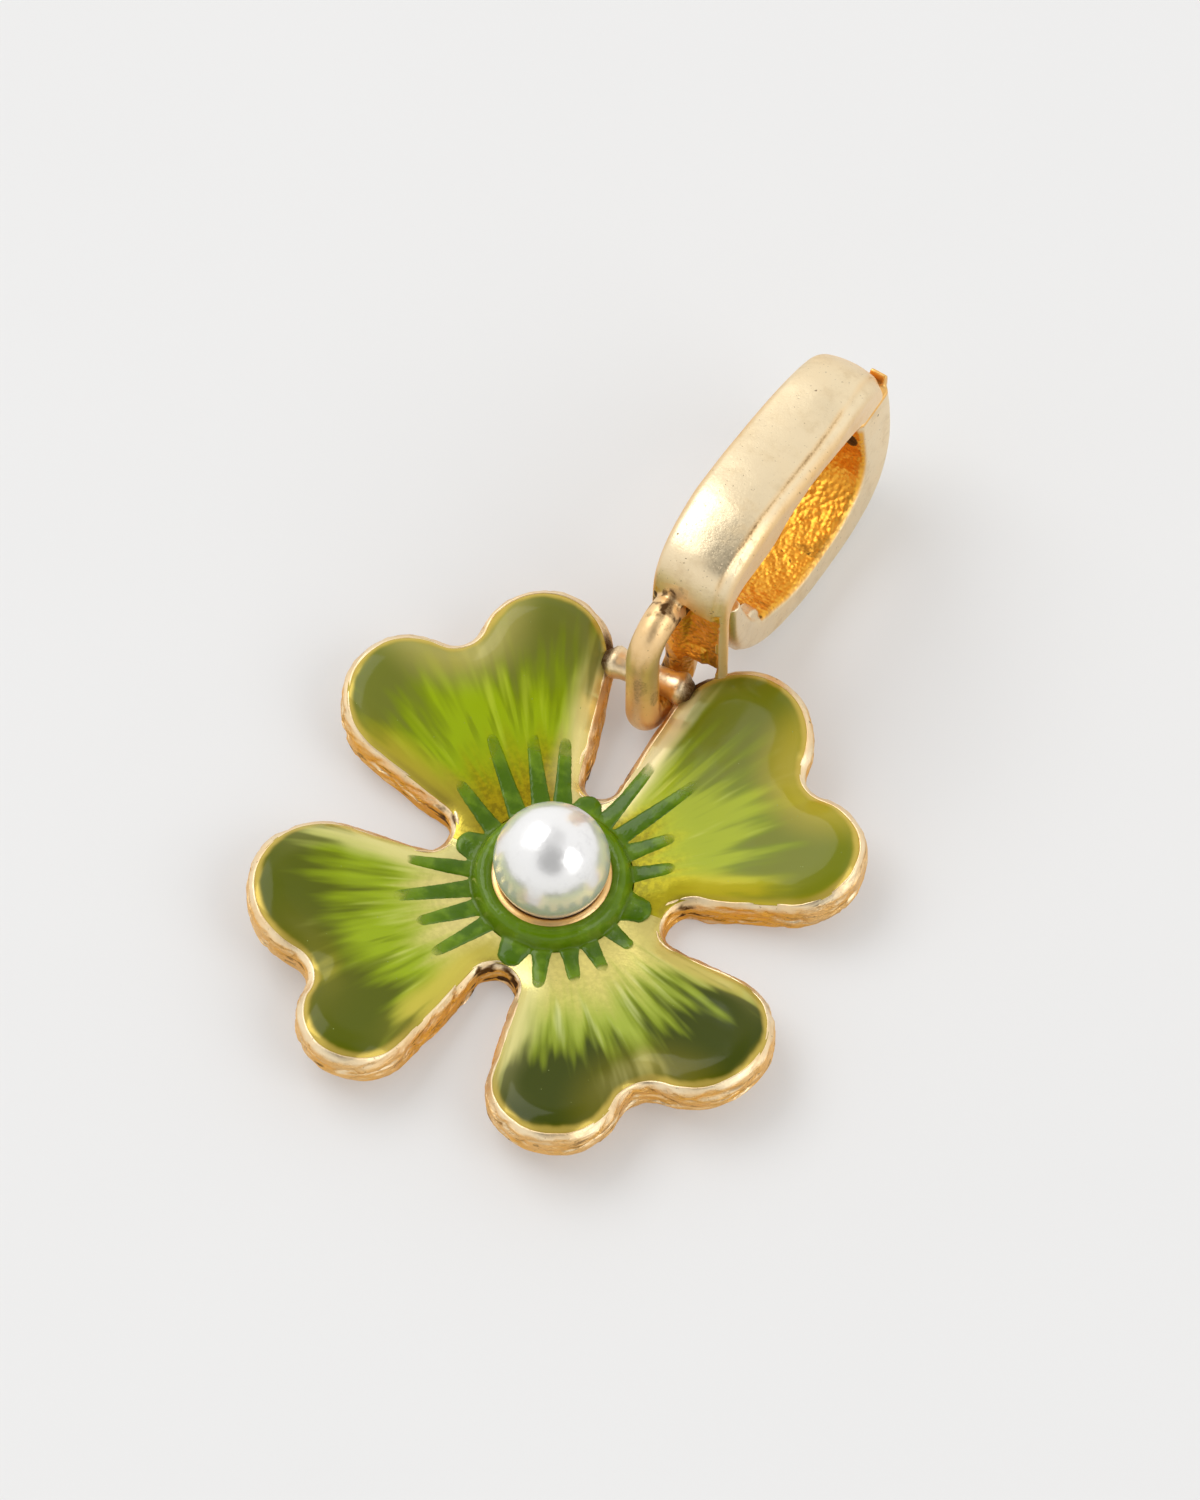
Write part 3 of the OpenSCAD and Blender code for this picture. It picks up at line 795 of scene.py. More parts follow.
@dataclass(frozen=True)
class CloverOutline:
    """The clover's hand-formed edge, in anticlockwise order from the leaf right of the bail."""

    lobes: tuple[Lobe, ...] = (
        Lobe(29.3, 8.44, 2.29),
        Lobe(63.5, 8.01, 2.70),
        Lobe(116.9, 8.34, 2.43),
        Lobe(150.9, 8.14, 2.49),
        Lobe(210.9, 7.53, 2.89),
        Lobe(245.6, 8.71, 2.05),
        Lobe(295.8, 8.27, 2.37),
        Lobe(333.6, 7.89, 2.66),
    )
    corners: tuple[float, ...] = (3.70, 4.01, 3.84, 4.24)
    notch_r: float = 1.0
    side_out: float = 0.15
    rim_z: float = 0.95
    cupping: float = 0.014
    crown_h: float = 0.3
    crown_from: float = 3.0
    crown_to: float = 7.0
    lobe_steps: int = 56
    notch_steps: int = 16
    side_steps: int = 28
    corner_steps: int = 16
    skeleton_share: float = 0.6

    def pair(self, leaf: int) -> tuple[Lobe, Lobe]:
        """Return a leaf's two lobes."""
        return self.lobes[2 * leaf], self.lobes[2 * leaf + 1]

    def side_turn(self, lobe: Lobe, way: int) -> float:
        """Return the direction of the straight side before (-1) or after (1) a lobe."""
        return lobe.turn + way * math.degrees(math.asin((lobe.radius - self.side_out) / lobe.reach))

    def leaf_from(self, leaf: int) -> float:
        """Return the direction of a leaf's first side."""
        return self.side_turn(self.pair(leaf)[0], -1)

    def leaf_to(self, leaf: int) -> float:
        """Return the direction of a leaf's second side."""
        return self.side_turn(self.pair(leaf)[1], 1)

    def leaf_turn(self, leaf: int) -> float:
        """Return the direction of a leaf's middle."""
        return (self.leaf_from(leaf) + self.leaf_to(leaf)) / 2

    def arc(self, middle: np.ndarray, r: float, start: float, end: float, steps: int) -> np.ndarray:
        """Return an arc, with both its ends.

        Args:
            middle: its middle.
            r: its radius.
            start: the direction that it starts from, in degrees.
            end: the direction that it ends at.
            steps: number of steps along it.

        Returns:
            steps + 1 points.
        """
        return middle + polar(r, np.linspace(start, end, steps + 1))

    def facing(self, way: np.ndarray, near: float) -> float:
        """Return a vector's direction, within half a turn of another direction."""
        turn = math.degrees(math.atan2(way[1], way[0]))
        return turn + 360 * round((near - turn) / 360)

    def notch_middle(self, leaf: int) -> np.ndarray:
        """Return the middle of the fillet between a leaf's lobes."""
        one, two = self.pair(leaf)
        a, b = one.middle(), two.middle()
        reach_a, reach_b = one.radius + self.notch_r, two.radius + self.notch_r
        apart = float(np.linalg.norm(b - a))
        along = (reach_a**2 - reach_b**2 + apart**2) / (2 * apart)
        way = (b - a) / apart
        return a + way * along + np.array([way[1], -way[0]]) * math.sqrt(reach_a**2 - along**2)

    def lobes_edge(self, leaf: int, inset: float) -> np.ndarray:
        """Return a leaf's edge round both lobes and the notch between them.

        Args:
            leaf: the leaf's number.
            inset: how far the edge is moved in.

        Returns:
            The edge's points, anticlockwise.
        """
        one, two = self.pair(leaf)
        middle, r, steps = self.notch_middle(leaf), self.notch_r + inset, self.lobe_steps
        to_notch = self.facing(middle - one.middle(), one.turn)
        from_notch = self.facing(middle - two.middle(), two.turn)
        start, end = self.leaf_from(leaf) - 90, self.leaf_to(leaf) + 90
        before = self.arc(one.middle(), one.radius - inset, start, to_notch, steps)
        notch = self.arc(middle, r, to_notch + 180, from_notch + 180, self.notch_steps)
        after = self.arc(two.middle(), two.radius - inset, from_notch, end, steps)
        return np.vstack([before, notch[1:-1], after])

    def corner_edge(self, leaf: int, inset: float) -> np.ndarray:
        """Return the rounded corner after a leaf.

        Args:
            leaf: the leaf's number.
            inset: how far the corner is moved in.

        Returns:
            The corner's points, anticlockwise round the clover.
        """
        before = self.leaf_to(leaf)
        after = self.leaf_from((leaf + 1) % LEAVES) + (360 if leaf == LEAVES - 1 else 0)
        half = (after - before) / 2
        sine = math.sin(math.radians(half))
        r = (self.corners[leaf] * sine - self.side_out) / (1 - sine)
        middle = polar(self.corners[leaf] + r, before + half)
        return self.arc(middle, r + inset, before - 90, after - 270, self.corner_steps)

    def between(self, start: np.ndarray, end: np.ndarray) -> np.ndarray:
        """Return the points between two others on a straight side, without its ends."""
        share = np.linspace(0, 1, self.side_steps + 2)[1:-1, None]
        return start + (end - start) * share

    def edge(self, inset: float) -> np.ndarray:
        """Return the whole edge, moved in by a distance."""
        line = []
        for leaf in range(LEAVES):
            lobes = self.lobes_edge(leaf, inset)
            corner = self.corner_edge(leaf, inset)
            ahead = self.lobes_edge((leaf + 1) % LEAVES, inset)[0]
            line += [lobes, self.between(lobes[-1], corner[0]), corner]
            line.append(self.between(corner[-1], ahead))
        return np.vstack(line)

    def skeleton(self, leaf_middle: float) -> np.ndarray:
        """Return the inner place that each point of the edge is drawn to, on four ribs.

        Args:
            leaf_middle: distance of the ribs' outer ends from the hub.

        Returns:
            A place for each point of edge().
        """
        lobe_count = 2 * self.lobe_steps + self.notch_steps + 1
        outward = np.linspace(0, self.skeleton_share, self.side_steps + 2)[1:-1, None]
        inward = np.linspace(self.skeleton_share, 1, self.corner_steps // 2 + 1)[:, None]
        line = []
        for leaf in range(LEAVES):
            here = polar(leaf_middle, self.leaf_turn(leaf))
            ahead = polar(leaf_middle, self.leaf_turn((leaf + 1) % LEAVES))
            line += [np.tile(here, (lobe_count, 1)), here * (1 - outward), here * (1 - inward)]
            line += [ahead * (1 - inward[-2::-1]), ahead * (1 - outward[::-1])]
        return np.vstack(line)

    def rim_height(self, radius: np.ndarray | float) -> np.ndarray | float:
        """Return the height of the cupped surface that the rims lie on."""
        return self.rim_z + self.cupping * radius**2

    def crown(self, radius: np.ndarray) -> np.ndarray:
        """Return the height of the enamel's crown above the rims."""
        share = (radius - self.crown_from) / (self.crown_to - self.crown_from)
        return self.crown_h * np.clip(share, 0, 1)


OUTLINE = CloverOutline()


# ---- The casting


@dataclass
class CloverCasting(Piece):
    """The cast clover with its walls, rims, dishes, pad, pearl cup and the bar for the eye."""

    nodes = ("clover_base",)

    outline: CloverOutline
    wall_h: float = 1.5
    back_z: float = 0.12
    floor_inset: float = 0.56
    leaf_middle: float = 5.6
    floor_drop: float = 0.5
    wrinkle: float = 0.095
    pad_r: float = 3.3
    pad_z: float = 0.42
    pad_steps: int = 96
    cup_r: float = 2.13
    cup_steps: int = 128
    seat_r: float = 2.04
    seat_z: float = 2.5
    bar_y: float = 8.22
    bar_z: float = 1.92
    bar_from: float = -1.86
    bar_to: float = 1.48
    bar_r: float = 0.5
    bar_steps: int = 48
    fill_rings: int = 7

    def profile(self) -> Profile:
        """Return the wall's section from the foot to the dish: inset, and height from the rim."""
        foot = [(0.46, -1.5), (0.33, -1.495), (0.21, -1.47), (0.11, -1.42), (0.04, -1.34)]
        wall = [(0.012 * t, -1.24 + 0.62 * t) for t in np.linspace(0, 1, 20)]
        shoulder = [
            (0.018, -0.56), (0.027, -0.49), (0.040, -0.42), (0.056, -0.355), (0.076, -0.295),
            (0.10, -0.24), (0.127, -0.19), (0.155, -0.15), (0.183, -0.12), (0.208, -0.10),
            (0.228, -0.095), (0.246, -0.105), (0.262, -0.13), (0.28, -0.17), (0.32, -0.26),
            (0.40, -0.38), (self.floor_inset, -self.floor_drop),
        ]
        return foot + wall + shoulder

    def outward(self, ring: np.ndarray) -> np.ndarray:
        """Return the outward direction in plan at each point of a ring."""
        way = np.roll(ring[:, :2], -1, axis=0) - np.roll(ring[:, :2], 1, axis=0)
        way /= np.maximum(np.linalg.norm(way, axis=1, keepdims=True), 1e-9)
        return np.column_stack([way[:, 1], -way[:, 0]])

    def wrinkled(self, ring: np.ndarray, height: float) -> np.ndarray:
        """Return a ring with the cast wall's wrinkles, which run along the wall.

        Args:
            ring: the ring's points.
            height: its height from the rim.

        Returns:
            The wrinkled ring.
        """
        depth = float(ramp(height, -1.5, -1.25) * (1 - ramp(height, -0.36, -0.08)))
        long = ring * np.array([0.9, 0.9, 3.6])
        fine = ring * np.array([2.4, 2.4, 7.0])
        waves = layered_noise(long, 11) * 0.6 + layered_noise(fine, 23) * 0.4
        folds = np.abs(noise(ring * np.array([1.0, 1.0, 3.4]) + waves[:, None] * 0.35, 5))
        creases = np.clip(1 - folds / 0.16, 0, 1)
        lumps = noise(ring * np.array([0.75, 0.75, 0.3]), 31) * 0.05
        offset = self.wrinkle * depth * (waves - 0.9 * creases) + lumps
        ring = ring.copy()
        ring[:, :2] += self.outward(ring) * np.minimum(offset, 0.055)[:, None]
        return ring

    def crumpled(self, ring: np.ndarray, inset: float) -> np.ndarray:
        """Return a ring of the rim, drawn in and bent unevenly, most of all in the corners.

        Args:
            ring: the ring's points.
            inset: how far it lies in from the clover's edge.

        Returns:
            The crumpled ring.
        """
        share = float(ramp(inset, 0.05, 0.17) * (1 - ramp(inset, 0.36, 0.56)))
        flat = ring * np.array([1, 1, 0])
        corner = 1 - ramp(np.linalg.norm(flat, axis=1), 4.2, 6.4)
        swell = 0.045 * (1 + layered_noise(flat, 15))
        swell += 0.07 * corner * (1 + noise(flat * 2.9, 16))
        rise = 0.022 * layered_noise(flat * 0.9, 17) + 0.05 * corner * noise(flat * 2.6, 18)
        ring = ring.copy()
        ring[:, :2] -= self.outward(ring) * (swell * share)[:, None]
        ring[:, 2] += rise * share
        return ring

    def ring(self, inset: float, height: float) -> np.ndarray:
        """Return the ring of the wall at an inset and a height from the rim."""
        edge = self.outline.edge(inset)
        z = self.outline.rim_height(np.linalg.norm(edge, axis=1)) + height
        ring = np.column_stack([edge, np.maximum(z, self.back_z)])
        if height > -self.floor_drop:
            ring = self.crumpled(ring, inset)
        return self.wrinkled(ring, height)

    def fill(self, edge: np.ndarray, height: float) -> list[np.ndarray]:
        """Return rings from an edge to the skeleton, on the cupped surface at a height."""
        target = self.outline.skeleton(self.leaf_middle)
        rings = []
        for share in np.linspace(0, 1, self.fill_rings + 1)[1:]:
            plan = edge[:, :2] + (target - edge[:, :2]) * share
            z = self.outline.rim_height(np.linalg.norm(plan, axis=1)) + height
            full = np.column_stack([plan, np.maximum(z, self.back_z)])
            full[:, 2] += 0.018 * layered_noise(full * 1.3, 41) * share
            rings.append(full)
        return rings

    def metal(self) -> Shells:
        """Return the shells of the casting, in millimetres."""
        shells = Shells()
        walls = [self.ring(inset, height) for inset, height in self.profile()]
        back = self.fill(walls[0], -self.wall_h)[::-1]
        floor = self.fill(walls[-1], -self.floor_drop)
        shells.add_rings(np.array(back + walls + floor))
        shells.add_turned(self.pad(), self.pad_steps)
        shells.add_turned(self.cup(), self.cup_steps)
        self.add_bar(shells)
        return shells

    def pad(self) -> Profile:
        """Return the section of the back pad: radius and height, bottom first."""
        edge = [(3.05, 0), (3.19, 0.02), (3.27, 0.07), (self.pad_r, 0.15), (self.pad_r, 0.25)]
        return [(0, 0), (2.2, 0), *edge, (3.28, 0.31), (3.2, self.pad_z), (0, self.pad_z)]

    def cup(self) -> Profile:
        """Return the section of the pearl's cup: radius and height, from the bottom to the seat."""
        r = self.cup_r
        wall = [(0, 0.3), (r, 0.3), (r, 1.0), (r, 1.42), (r - 0.02, 1.50), (r - 0.07, 1.57)]
        lip = [(r - 0.14, 1.61), (1.92, 1.63), (1.87, 1.625)]
        turn = np.radians(np.linspace(-26.5, -89.9, 16))
        seat = [(self.seat_r * math.cos(a), self.seat_z + self.seat_r * math.sin(a)) for a in turn]
        return [*wall, *lip, *seat, (0, self.seat_z - self.seat_r)]

    def add_bar(self, shells: Shells) -> None:
        """Add the cast bar between the two upper leaves, thicker where it runs into them."""
        flare = [
            (0, 0), (0, 0.26), (0.1, 0.38), (0.2, 0.44), (0.3, 0.55), (0.42, 0.6), (0.6, 0.56),
            (0.8, self.bar_r),
        ]
        first = [(r, self.bar_from + x) for x, r in flare]
        last = [(r, self.bar_to - x) for x, r in flare[::-1]]
        start, end = first[-1][1], last[0][1]
        middle = [
            (self.bar_r * (1 - 0.03 * math.sin(t * math.pi)), start + t * (end - start))
            for t in np.linspace(0.1, 0.9, 9)
        ]
        rings = rod_rings(first + middle + last, self.bar_steps, self.bar_y, self.bar_z)
        uneven = 0.015 * noise(rings.reshape(-1, 3) * 2.2, 9)
        rings[..., 1:] += uneven.reshape(rings.shape[:2])[..., None]
        shells.add_rings(rings)

    def shape(self) -> bpy.types.Object:
        """Return the casting in millimetres, with its marks."""
        obj = self.metal().build("cast_clover")
        at, facing = places(obj), normals(obj)
        radius = np.linalg.norm(at[:, :2], axis=1)
        rim = self.outline.rim_height(radius)
        below = rim - at[:, 2]
        wall = (1 - ramp(facing[:, 2], 0.15, 0.75)) * ramp(below, 0.02, 0.35)
        deep = 1 - ramp(radius, 6.2, 9.6)
        bar = 1 - ramp(np.abs(at[:, 1] - self.bar_y) + np.abs(at[:, 2] - self.bar_z), 0.5, 1.6)
        bar *= np.abs(at[:, 0]) < 2.6
        # Painted orange reflection and shade: strongest on the walls and towards the hub, full
        # inside the pearl's cup, a faint orange tone elsewhere
        painted_bounce_and_tone = wall * (0.74 + 0.4 * deep) + 0.10 * (1 - wall)
        painted_bounce_and_tone = np.maximum(painted_bounce_and_tone, 0.6 * (radius < self.cup_r + 0.02))
        painted_bounce_and_tone += 0.25 * layered_noise(at * np.array([1, 1, 4.0]), 51)
        mark(obj, "painted_bounce_and_tone", np.clip(painted_bounce_and_tone, 0, 1))
        corner = ramp(5.6 - radius, 0, 1.4) * ramp(below, -0.02, 0.2) * (radius > 3.3)
        streak = ramp(layered_noise(at * np.array([1.5, 1.5, 6.5]), 61), 0.15, 0.5)
        middle = (self.bar_from + self.bar_to) / 2
        ends = ramp(np.abs(at[:, 0] - middle), 1.0, 1.6) * bar
        stain = wall * streak * 0.62 + corner * (0.3 + 0.7 * streak) + ends * 0.7 + 0.15 * bar
        mark(obj, "tarnish_and_painted_shade", np.clip(stain, 0, 1))
        mark(obj, "wall", wall)
        return obj


# ---- The enamel


@dataclass
class LeafEnamel(Piece):
    """The enamel that fills one leaf's dish and domes over it like a drop."""

    slot = Slot.LEAF_ENAMEL

    outline: CloverOutline
    leaf: int
    inset: float = 0.235
    inner_end: float = 2.80
    inner_steps: int = 40
    enamel_middle: float = 4.8
    dome: float = 1.25
    edge_drop: float = 0.13
    under: float = 0.42
    under_z: float = 0.87
    rings: int = 46
    dark_from: float = 7.35
    dark_size: float = 0.2

    @property
    def nodes(self) -> tuple[str, ...]:
        """Return the node that this leaf's enamel replaces."""
        return (f"enamel_leaf_{self.leaf + 1}",)

    def rim_line(self) -> np.ndarray:
        """Return the part of the enamel's edge that follows the rim, from corner to corner."""
        outline, leaf, inset = self.outline, self.leaf, self.inset
        half = outline.corner_steps // 2
        before = outline.corner_edge((leaf - 1) % LEAVES, inset)[half:]
        after = outline.corner_edge(leaf, inset)[: half + 1]
        lobes = outline.lobes_edge(leaf, inset)
        room = self.inner_end + 0.05
        before = before * np.maximum(1, room / np.linalg.norm(before, axis=1))[:, None]
        after = after * np.maximum(1, room / np.linalg.norm(after, axis=1))[:, None]
        first_side = outline.between(before[-1], lobes[0])
        last_side = outline.between(lobes[-1], after[0])
        return np.vstack([before, first_side, lobes, last_side, after])

    def edge(self) -> np.ndarray:
        """Return the whole edge, closed by an arc round the hub."""
        rim = self.rim_line()
        turn = self.outline.leaf_turn(self.leaf)
        start = self.outline.facing(rim[-1], turn)
        end = self.outline.facing(rim[0], turn)
        arc = self.outline.arc(np.zeros(2), self.inner_end, start, end, self.inner_steps)
        return np.vstack([rim, arc])

    def height(self, plan: np.ndarray) -> np.ndarray:
        """Return the height of the enamel's top at points of the plan."""
        apart = edge_distance(plan, self.rim_line())
        radius = np.linalg.norm(plan, axis=1)
        dome = 1 - (1 - np.clip(apart / self.dome, 0, 1)) ** 2.4
        z = self.outline.rim_height(radius) - self.edge_drop
        z += (self.edge_drop + self.outline.crown(radius)) * dome
        wave = 0.014 * noise(np.column_stack([plan * 0.9, np.full(len(plan), self.leaf * 7.0)]), 71)
        return z + wave * dome

    def underside(self, plan: np.ndarray) -> np.ndarray:
        """Return the height of the enamel's underside at points of the plan."""
        z = self.outline.rim_height(np.linalg.norm(plan, axis=1)) - self.under
        return np.maximum(z, self.under_z)

    def shape(self) -> bpy.types.Object:
        """Return the leaf's enamel in millimetres, with its marks."""
        edge = self.edge()
        middle = polar(self.enamel_middle, self.outline.leaf_turn(self.leaf))
        low, high = self.underside(edge), self.height(edge)
        rings = []
        for share in (0.0, 0.35, 0.7, 0.97, 1.0):
            plan = middle + (edge - middle) * share
            rings.append(np.column_stack([plan, self.underside(plan)]))
        for share in (0.35, 0.7, 0.92):
            rings.append(np.column_stack([edge, low + (high - low) * share]))
        for t in np.linspace(0, 1, self.rings):
            plan = middle + (edge - middle) * (1 - t**1.35)
            rings.append(np.column_stack([plan, self.height(plan)]))
        shells = Shells()
        shells.add_rings(np.array(rings))
        obj = shells.build(f"leaf_enamel_{self.leaf + 1}")
        self.mark_zones(obj)
        return obj

    def mark_zones(self, obj: bpy.types.Object) -> None:
        """Mark where the enamel is dark, how far its rim is, and its place round the hub."""
        at = places(obj)
        plan = at[:, :2]
        radius = np.linalg.norm(plan, axis=1)
        turn = np.degrees(np.arctan2(plan[:, 1], plan[:, 0]))
        middle = self.outline.leaf_turn(self.leaf)
        turn = middle + (turn - middle + 180) % 360 - 180
        depth = []
        for lobe in self.outline.pair(self.leaf):
            size = lobe.radius + self.dark_size
            centre = polar(self.dark_from + size, lobe.turn + 0.06 * (lobe.turn - middle))
            depth.append(size - np.linalg.norm(plan - centre, axis=1))
        cleft = np.linalg.norm(plan - self.outline.notch_middle(self.leaf), axis=1)
        mark(obj, "cleft", 1 - ramp(cleft - self.outline.notch_r - self.inset, 0.4, 2.1))
        mark(obj, "edge", edge_distance(plan, self.rim_line()))
        mark(obj, "lobe", np.maximum(*depth))
        mark(obj, "radius", radius)
        mark(obj, "turn", turn)
        mark(obj, "lean", (turn - middle) / 25)
        mark(obj, "top", ramp(normals(obj)[:, 2], 0.5, 0.8))


@dataclass(frozen=True)
class Stroke:
    """One raised stroke: directions at the ring and at its tip, and its tip's reach."""

    root: float
    tip: float
    reach: float


@dataclass
class HubEnamel(Piece):
    """The green ring round the pearl with its raised strokes and the webs in the corners."""

    slot = Slot.HUB_ENAMEL
    nodes = ("enamel_hub",)

    outline: CloverOutline
    leaves: list[LeafEnamel]
    strokes: tuple[Stroke, ...] = (
        Stroke(29.2, 30.2, 4.25), Stroke(48.2, 44.9, 4.5), Stroke(61.5, 59.6, 6.1),
        Stroke(75.9, 76.2, 5.65), Stroke(107.3, 109.9, 5.35), Stroke(122.4, 122.2, 5.55),
        Stroke(140.5, 136.4, 5.8), Stroke(161.8, 156.2, 4.9), Stroke(195.8, 197.2, 5.05),
        Stroke(210.2, 214.1, 5.5), Stroke(227.3, 226.5, 4.95), Stroke(242.2, 241.9, 5.1),
        Stroke(287.4, 288.8, 4.3), Stroke(308.0, 306.0, 4.15), Stroke(322.8, 321.5, 4.05),
        Stroke(341.6, 340.3, 3.85),
    )
    webs: tuple[Stroke, ...] = (
        Stroke(3.4, 3.4, 3.62), Stroke(91.6, 91.6, 3.55), Stroke(178.6, 178.6, 3.6),
        Stroke(269.2, 269.2, 3.6),
    )
    ring_in: float = 2.17
    ring_out: float = 2.78
    ring_base: float = 0.8
    ring_steps: int = 240
    crest_r: float = 2.36
    crest_z: float = 1.64
    half_w: float = 0.29
    stroke_h: float = 0.05
    web_half_w: float = 0.52
    web_h: float = 0.16
    root_in: float = 0.42
    tip_round: float = 0.26
    sunk: float = 0.10
    top_points: int = 13
    grain: float = 0.052
    polish: int = 2

    def surface(self, plan: np.ndarray) -> np.ndarray:
        """Return the height of the enamel under points of the plan."""
        turn = np.degrees(np.arctan2(plan[:, 1], plan[:, 0]))
        middles = [self.outline.leaf_turn(leaf) for leaf in range(LEAVES)]
        away = [np.abs((turn - middle + 180) % 360 - 180) for middle in middles]
        nearest = np.argmin(away, axis=0)
        z = self.outline.rim_height(np.linalg.norm(plan, axis=1))
        for k, leaf in enumerate(self.leaves):
            if (nearest == k).any():
                z[nearest == k] = leaf.height(plan[nearest == k])
        return z

    def add_ring(self, shells: Shells) -> None:
        """Add the ring, a rounded bead that slopes down to the leaves."""
        floor = float(self.outline.rim_height(self.ring_out))
        profile = [
            (self.ring_in, self.ring_base), (self.ring_out - 0.02, self.ring_base),
            (self.ring_out, 0.9), (self.ring_out, floor - 0.08), (2.76, floor + 0.02),
            (2.71, floor + 0.12), (2.63, 1.38), (2.54, 1.54), (2.44, self.crest_z - 0.02),
            (self.crest_r, self.crest_z), (2.26, self.crest_z), (2.19, 1.62),
            (2.06, 1.58), (2.0, 1.45), (2.0, self.ring_base), (self.ring_in, self.ring_base),
        ]
        rings, n = [], self.ring_steps
        for r, z in profile:
            uneven = noise(np.column_stack([circle(2.6, n), np.full(n, z * 2)]) * 1.1, 81)
            rings.append(np.column_stack([circle(r, n), z + 0.03 * uneven * (z > 1.1)]))
        shells.add_rings(np.array(rings))

    def add_stroke(self, shells: Shells, stroke: Stroke, half_w: float, height: float) -> None:
        """Add one raised stroke, which follows the enamel under it and thins to its tip.

        Args:
            shells: what it is added to.
            stroke: where it runs.
            half_w: half its width, about halfway along.
            height: its height at the root.
        """
        root = polar(self.ring_out - self.root_in, stroke.root)
        tip = polar(stroke.reach, stroke.tip)
        length = float(np.linalg.norm(tip - root))
        way = (tip - root) / length
        side = np.array([-way[1], way[0]])
        rings, top = [], self.top_points
        shares = np.concatenate([[0.0, 0.004], np.linspace(0.05, 0.9, 26), [0.94, 0.97, 0.99, 1.0]])
        across = np.concatenate([np.linspace(-1, 1, top), np.linspace(1, -1, 5)[1:-1]])
        for t in shares:
            left = length * (1 - t)
            round_end = math.sqrt(max(0.0, 1 - max(0.0, 1 - left / self.tip_round) ** 2))
            wobble = 1 + 0.07 * float(noise(np.array([[stroke.root, t * 4, 0.3]]), 91)[0])
            w = half_w * round_end * wobble * (1.38 - 0.62 * t)
            plan = root + way * length * t + side * (across * w)[:, None]
            rise = height * (1 - 0.45 * t) * (0.25 + 0.75 * round_end)
            z = self.surface(plan)
            z[:top] += rise * (1 - np.abs(across[:top]) ** 2.6) + 0.015
            z[top:] -= self.sunk
            z[[0, top - 1]] -= 0.05
            rings.append(np.column_stack([plan, z]))
        shells.add_rings(capped(rings)[:, ::-1])

    def shape(self) -> bpy.types.Object:
        """Return the ring with its strokes in millimetres, with its marks."""
        shells = Shells()
        self.add_ring(shells)
        for stroke in self.strokes:
            self.add_stroke(shells, stroke, self.half_w, self.stroke_h)
        for web in self.webs:
            self.add_stroke(shells, web, self.web_half_w, self.web_h)
        obj = shells.build("hub_enamel")
        fuse(obj, self.grain, self.polish)
        self.mark_zones(obj)
        return obj

    def mark_zones(self, obj: bpy.types.Object) -> None:
        """Mark the strokes' tips, the groove beside the crest and what lies outside the ring."""
        at = places(obj)
        plan = at[:, :2]
        radius = np.linalg.norm(plan, axis=1)
        along, nearest = np.zeros(len(at)), np.full(len(at), np.inf)
        for stroke in self.strokes:
            root, tip = polar(self.ring_out, stroke.root), polar(stroke.reach, stroke.tip)
            way = tip - root
            share = ((plan - root) @ way) / (way @ way)
            apart = np.linalg.norm(plan - root - np.clip(share, 0, 1)[:, None] * way, axis=1)
            closer = apart < nearest
            along[closer] = share[closer]
            nearest = np.minimum(nearest, apart)
        mark(obj, "tip", np.clip(along, 0, 1) * ramp(radius, 2.9, 3.3))
        mark(obj, "groove", np.clip(1 - np.abs(radius - 2.74) / 0.12, 0, 1) * 0.6)
        mark(obj, "outer", ramp(radius, 2.7, 3.1))


@dataclass
class Pearl(Piece):
    """The pearl in its cup."""

    slot = Slot.PEARL
    nodes = ("pearl",)

    radius: float = 2.0
    height: float = 2.5
    steps: int = 160
    sag: float = 0.008

    def shape(self) -> bpy.types.Object:
        """Return the pearl in millimetres, very slightly out of round, with its marks."""
        shells = Shells()
        turn = np.radians(np.linspace(-90, 90, self.steps // 2))
        profile = [(self.radius * max(0.0, math.cos(a)), self.radius * math.sin(a)) for a in turn]
        shells.add_turned(profile, self.steps)
        obj = shells.build("pearl_bead")
        at = places(obj)
        uneven = -self.sag * (0.5 + 0.5 * layered_noise(at * 0.7, 3))
        shift(obj, at / self.radius * uneven[:, None])
        mark(obj, "height", at[:, 2])
        shift(obj, np.array([0, 0, self.height]))
        return obj


# ---- The bail


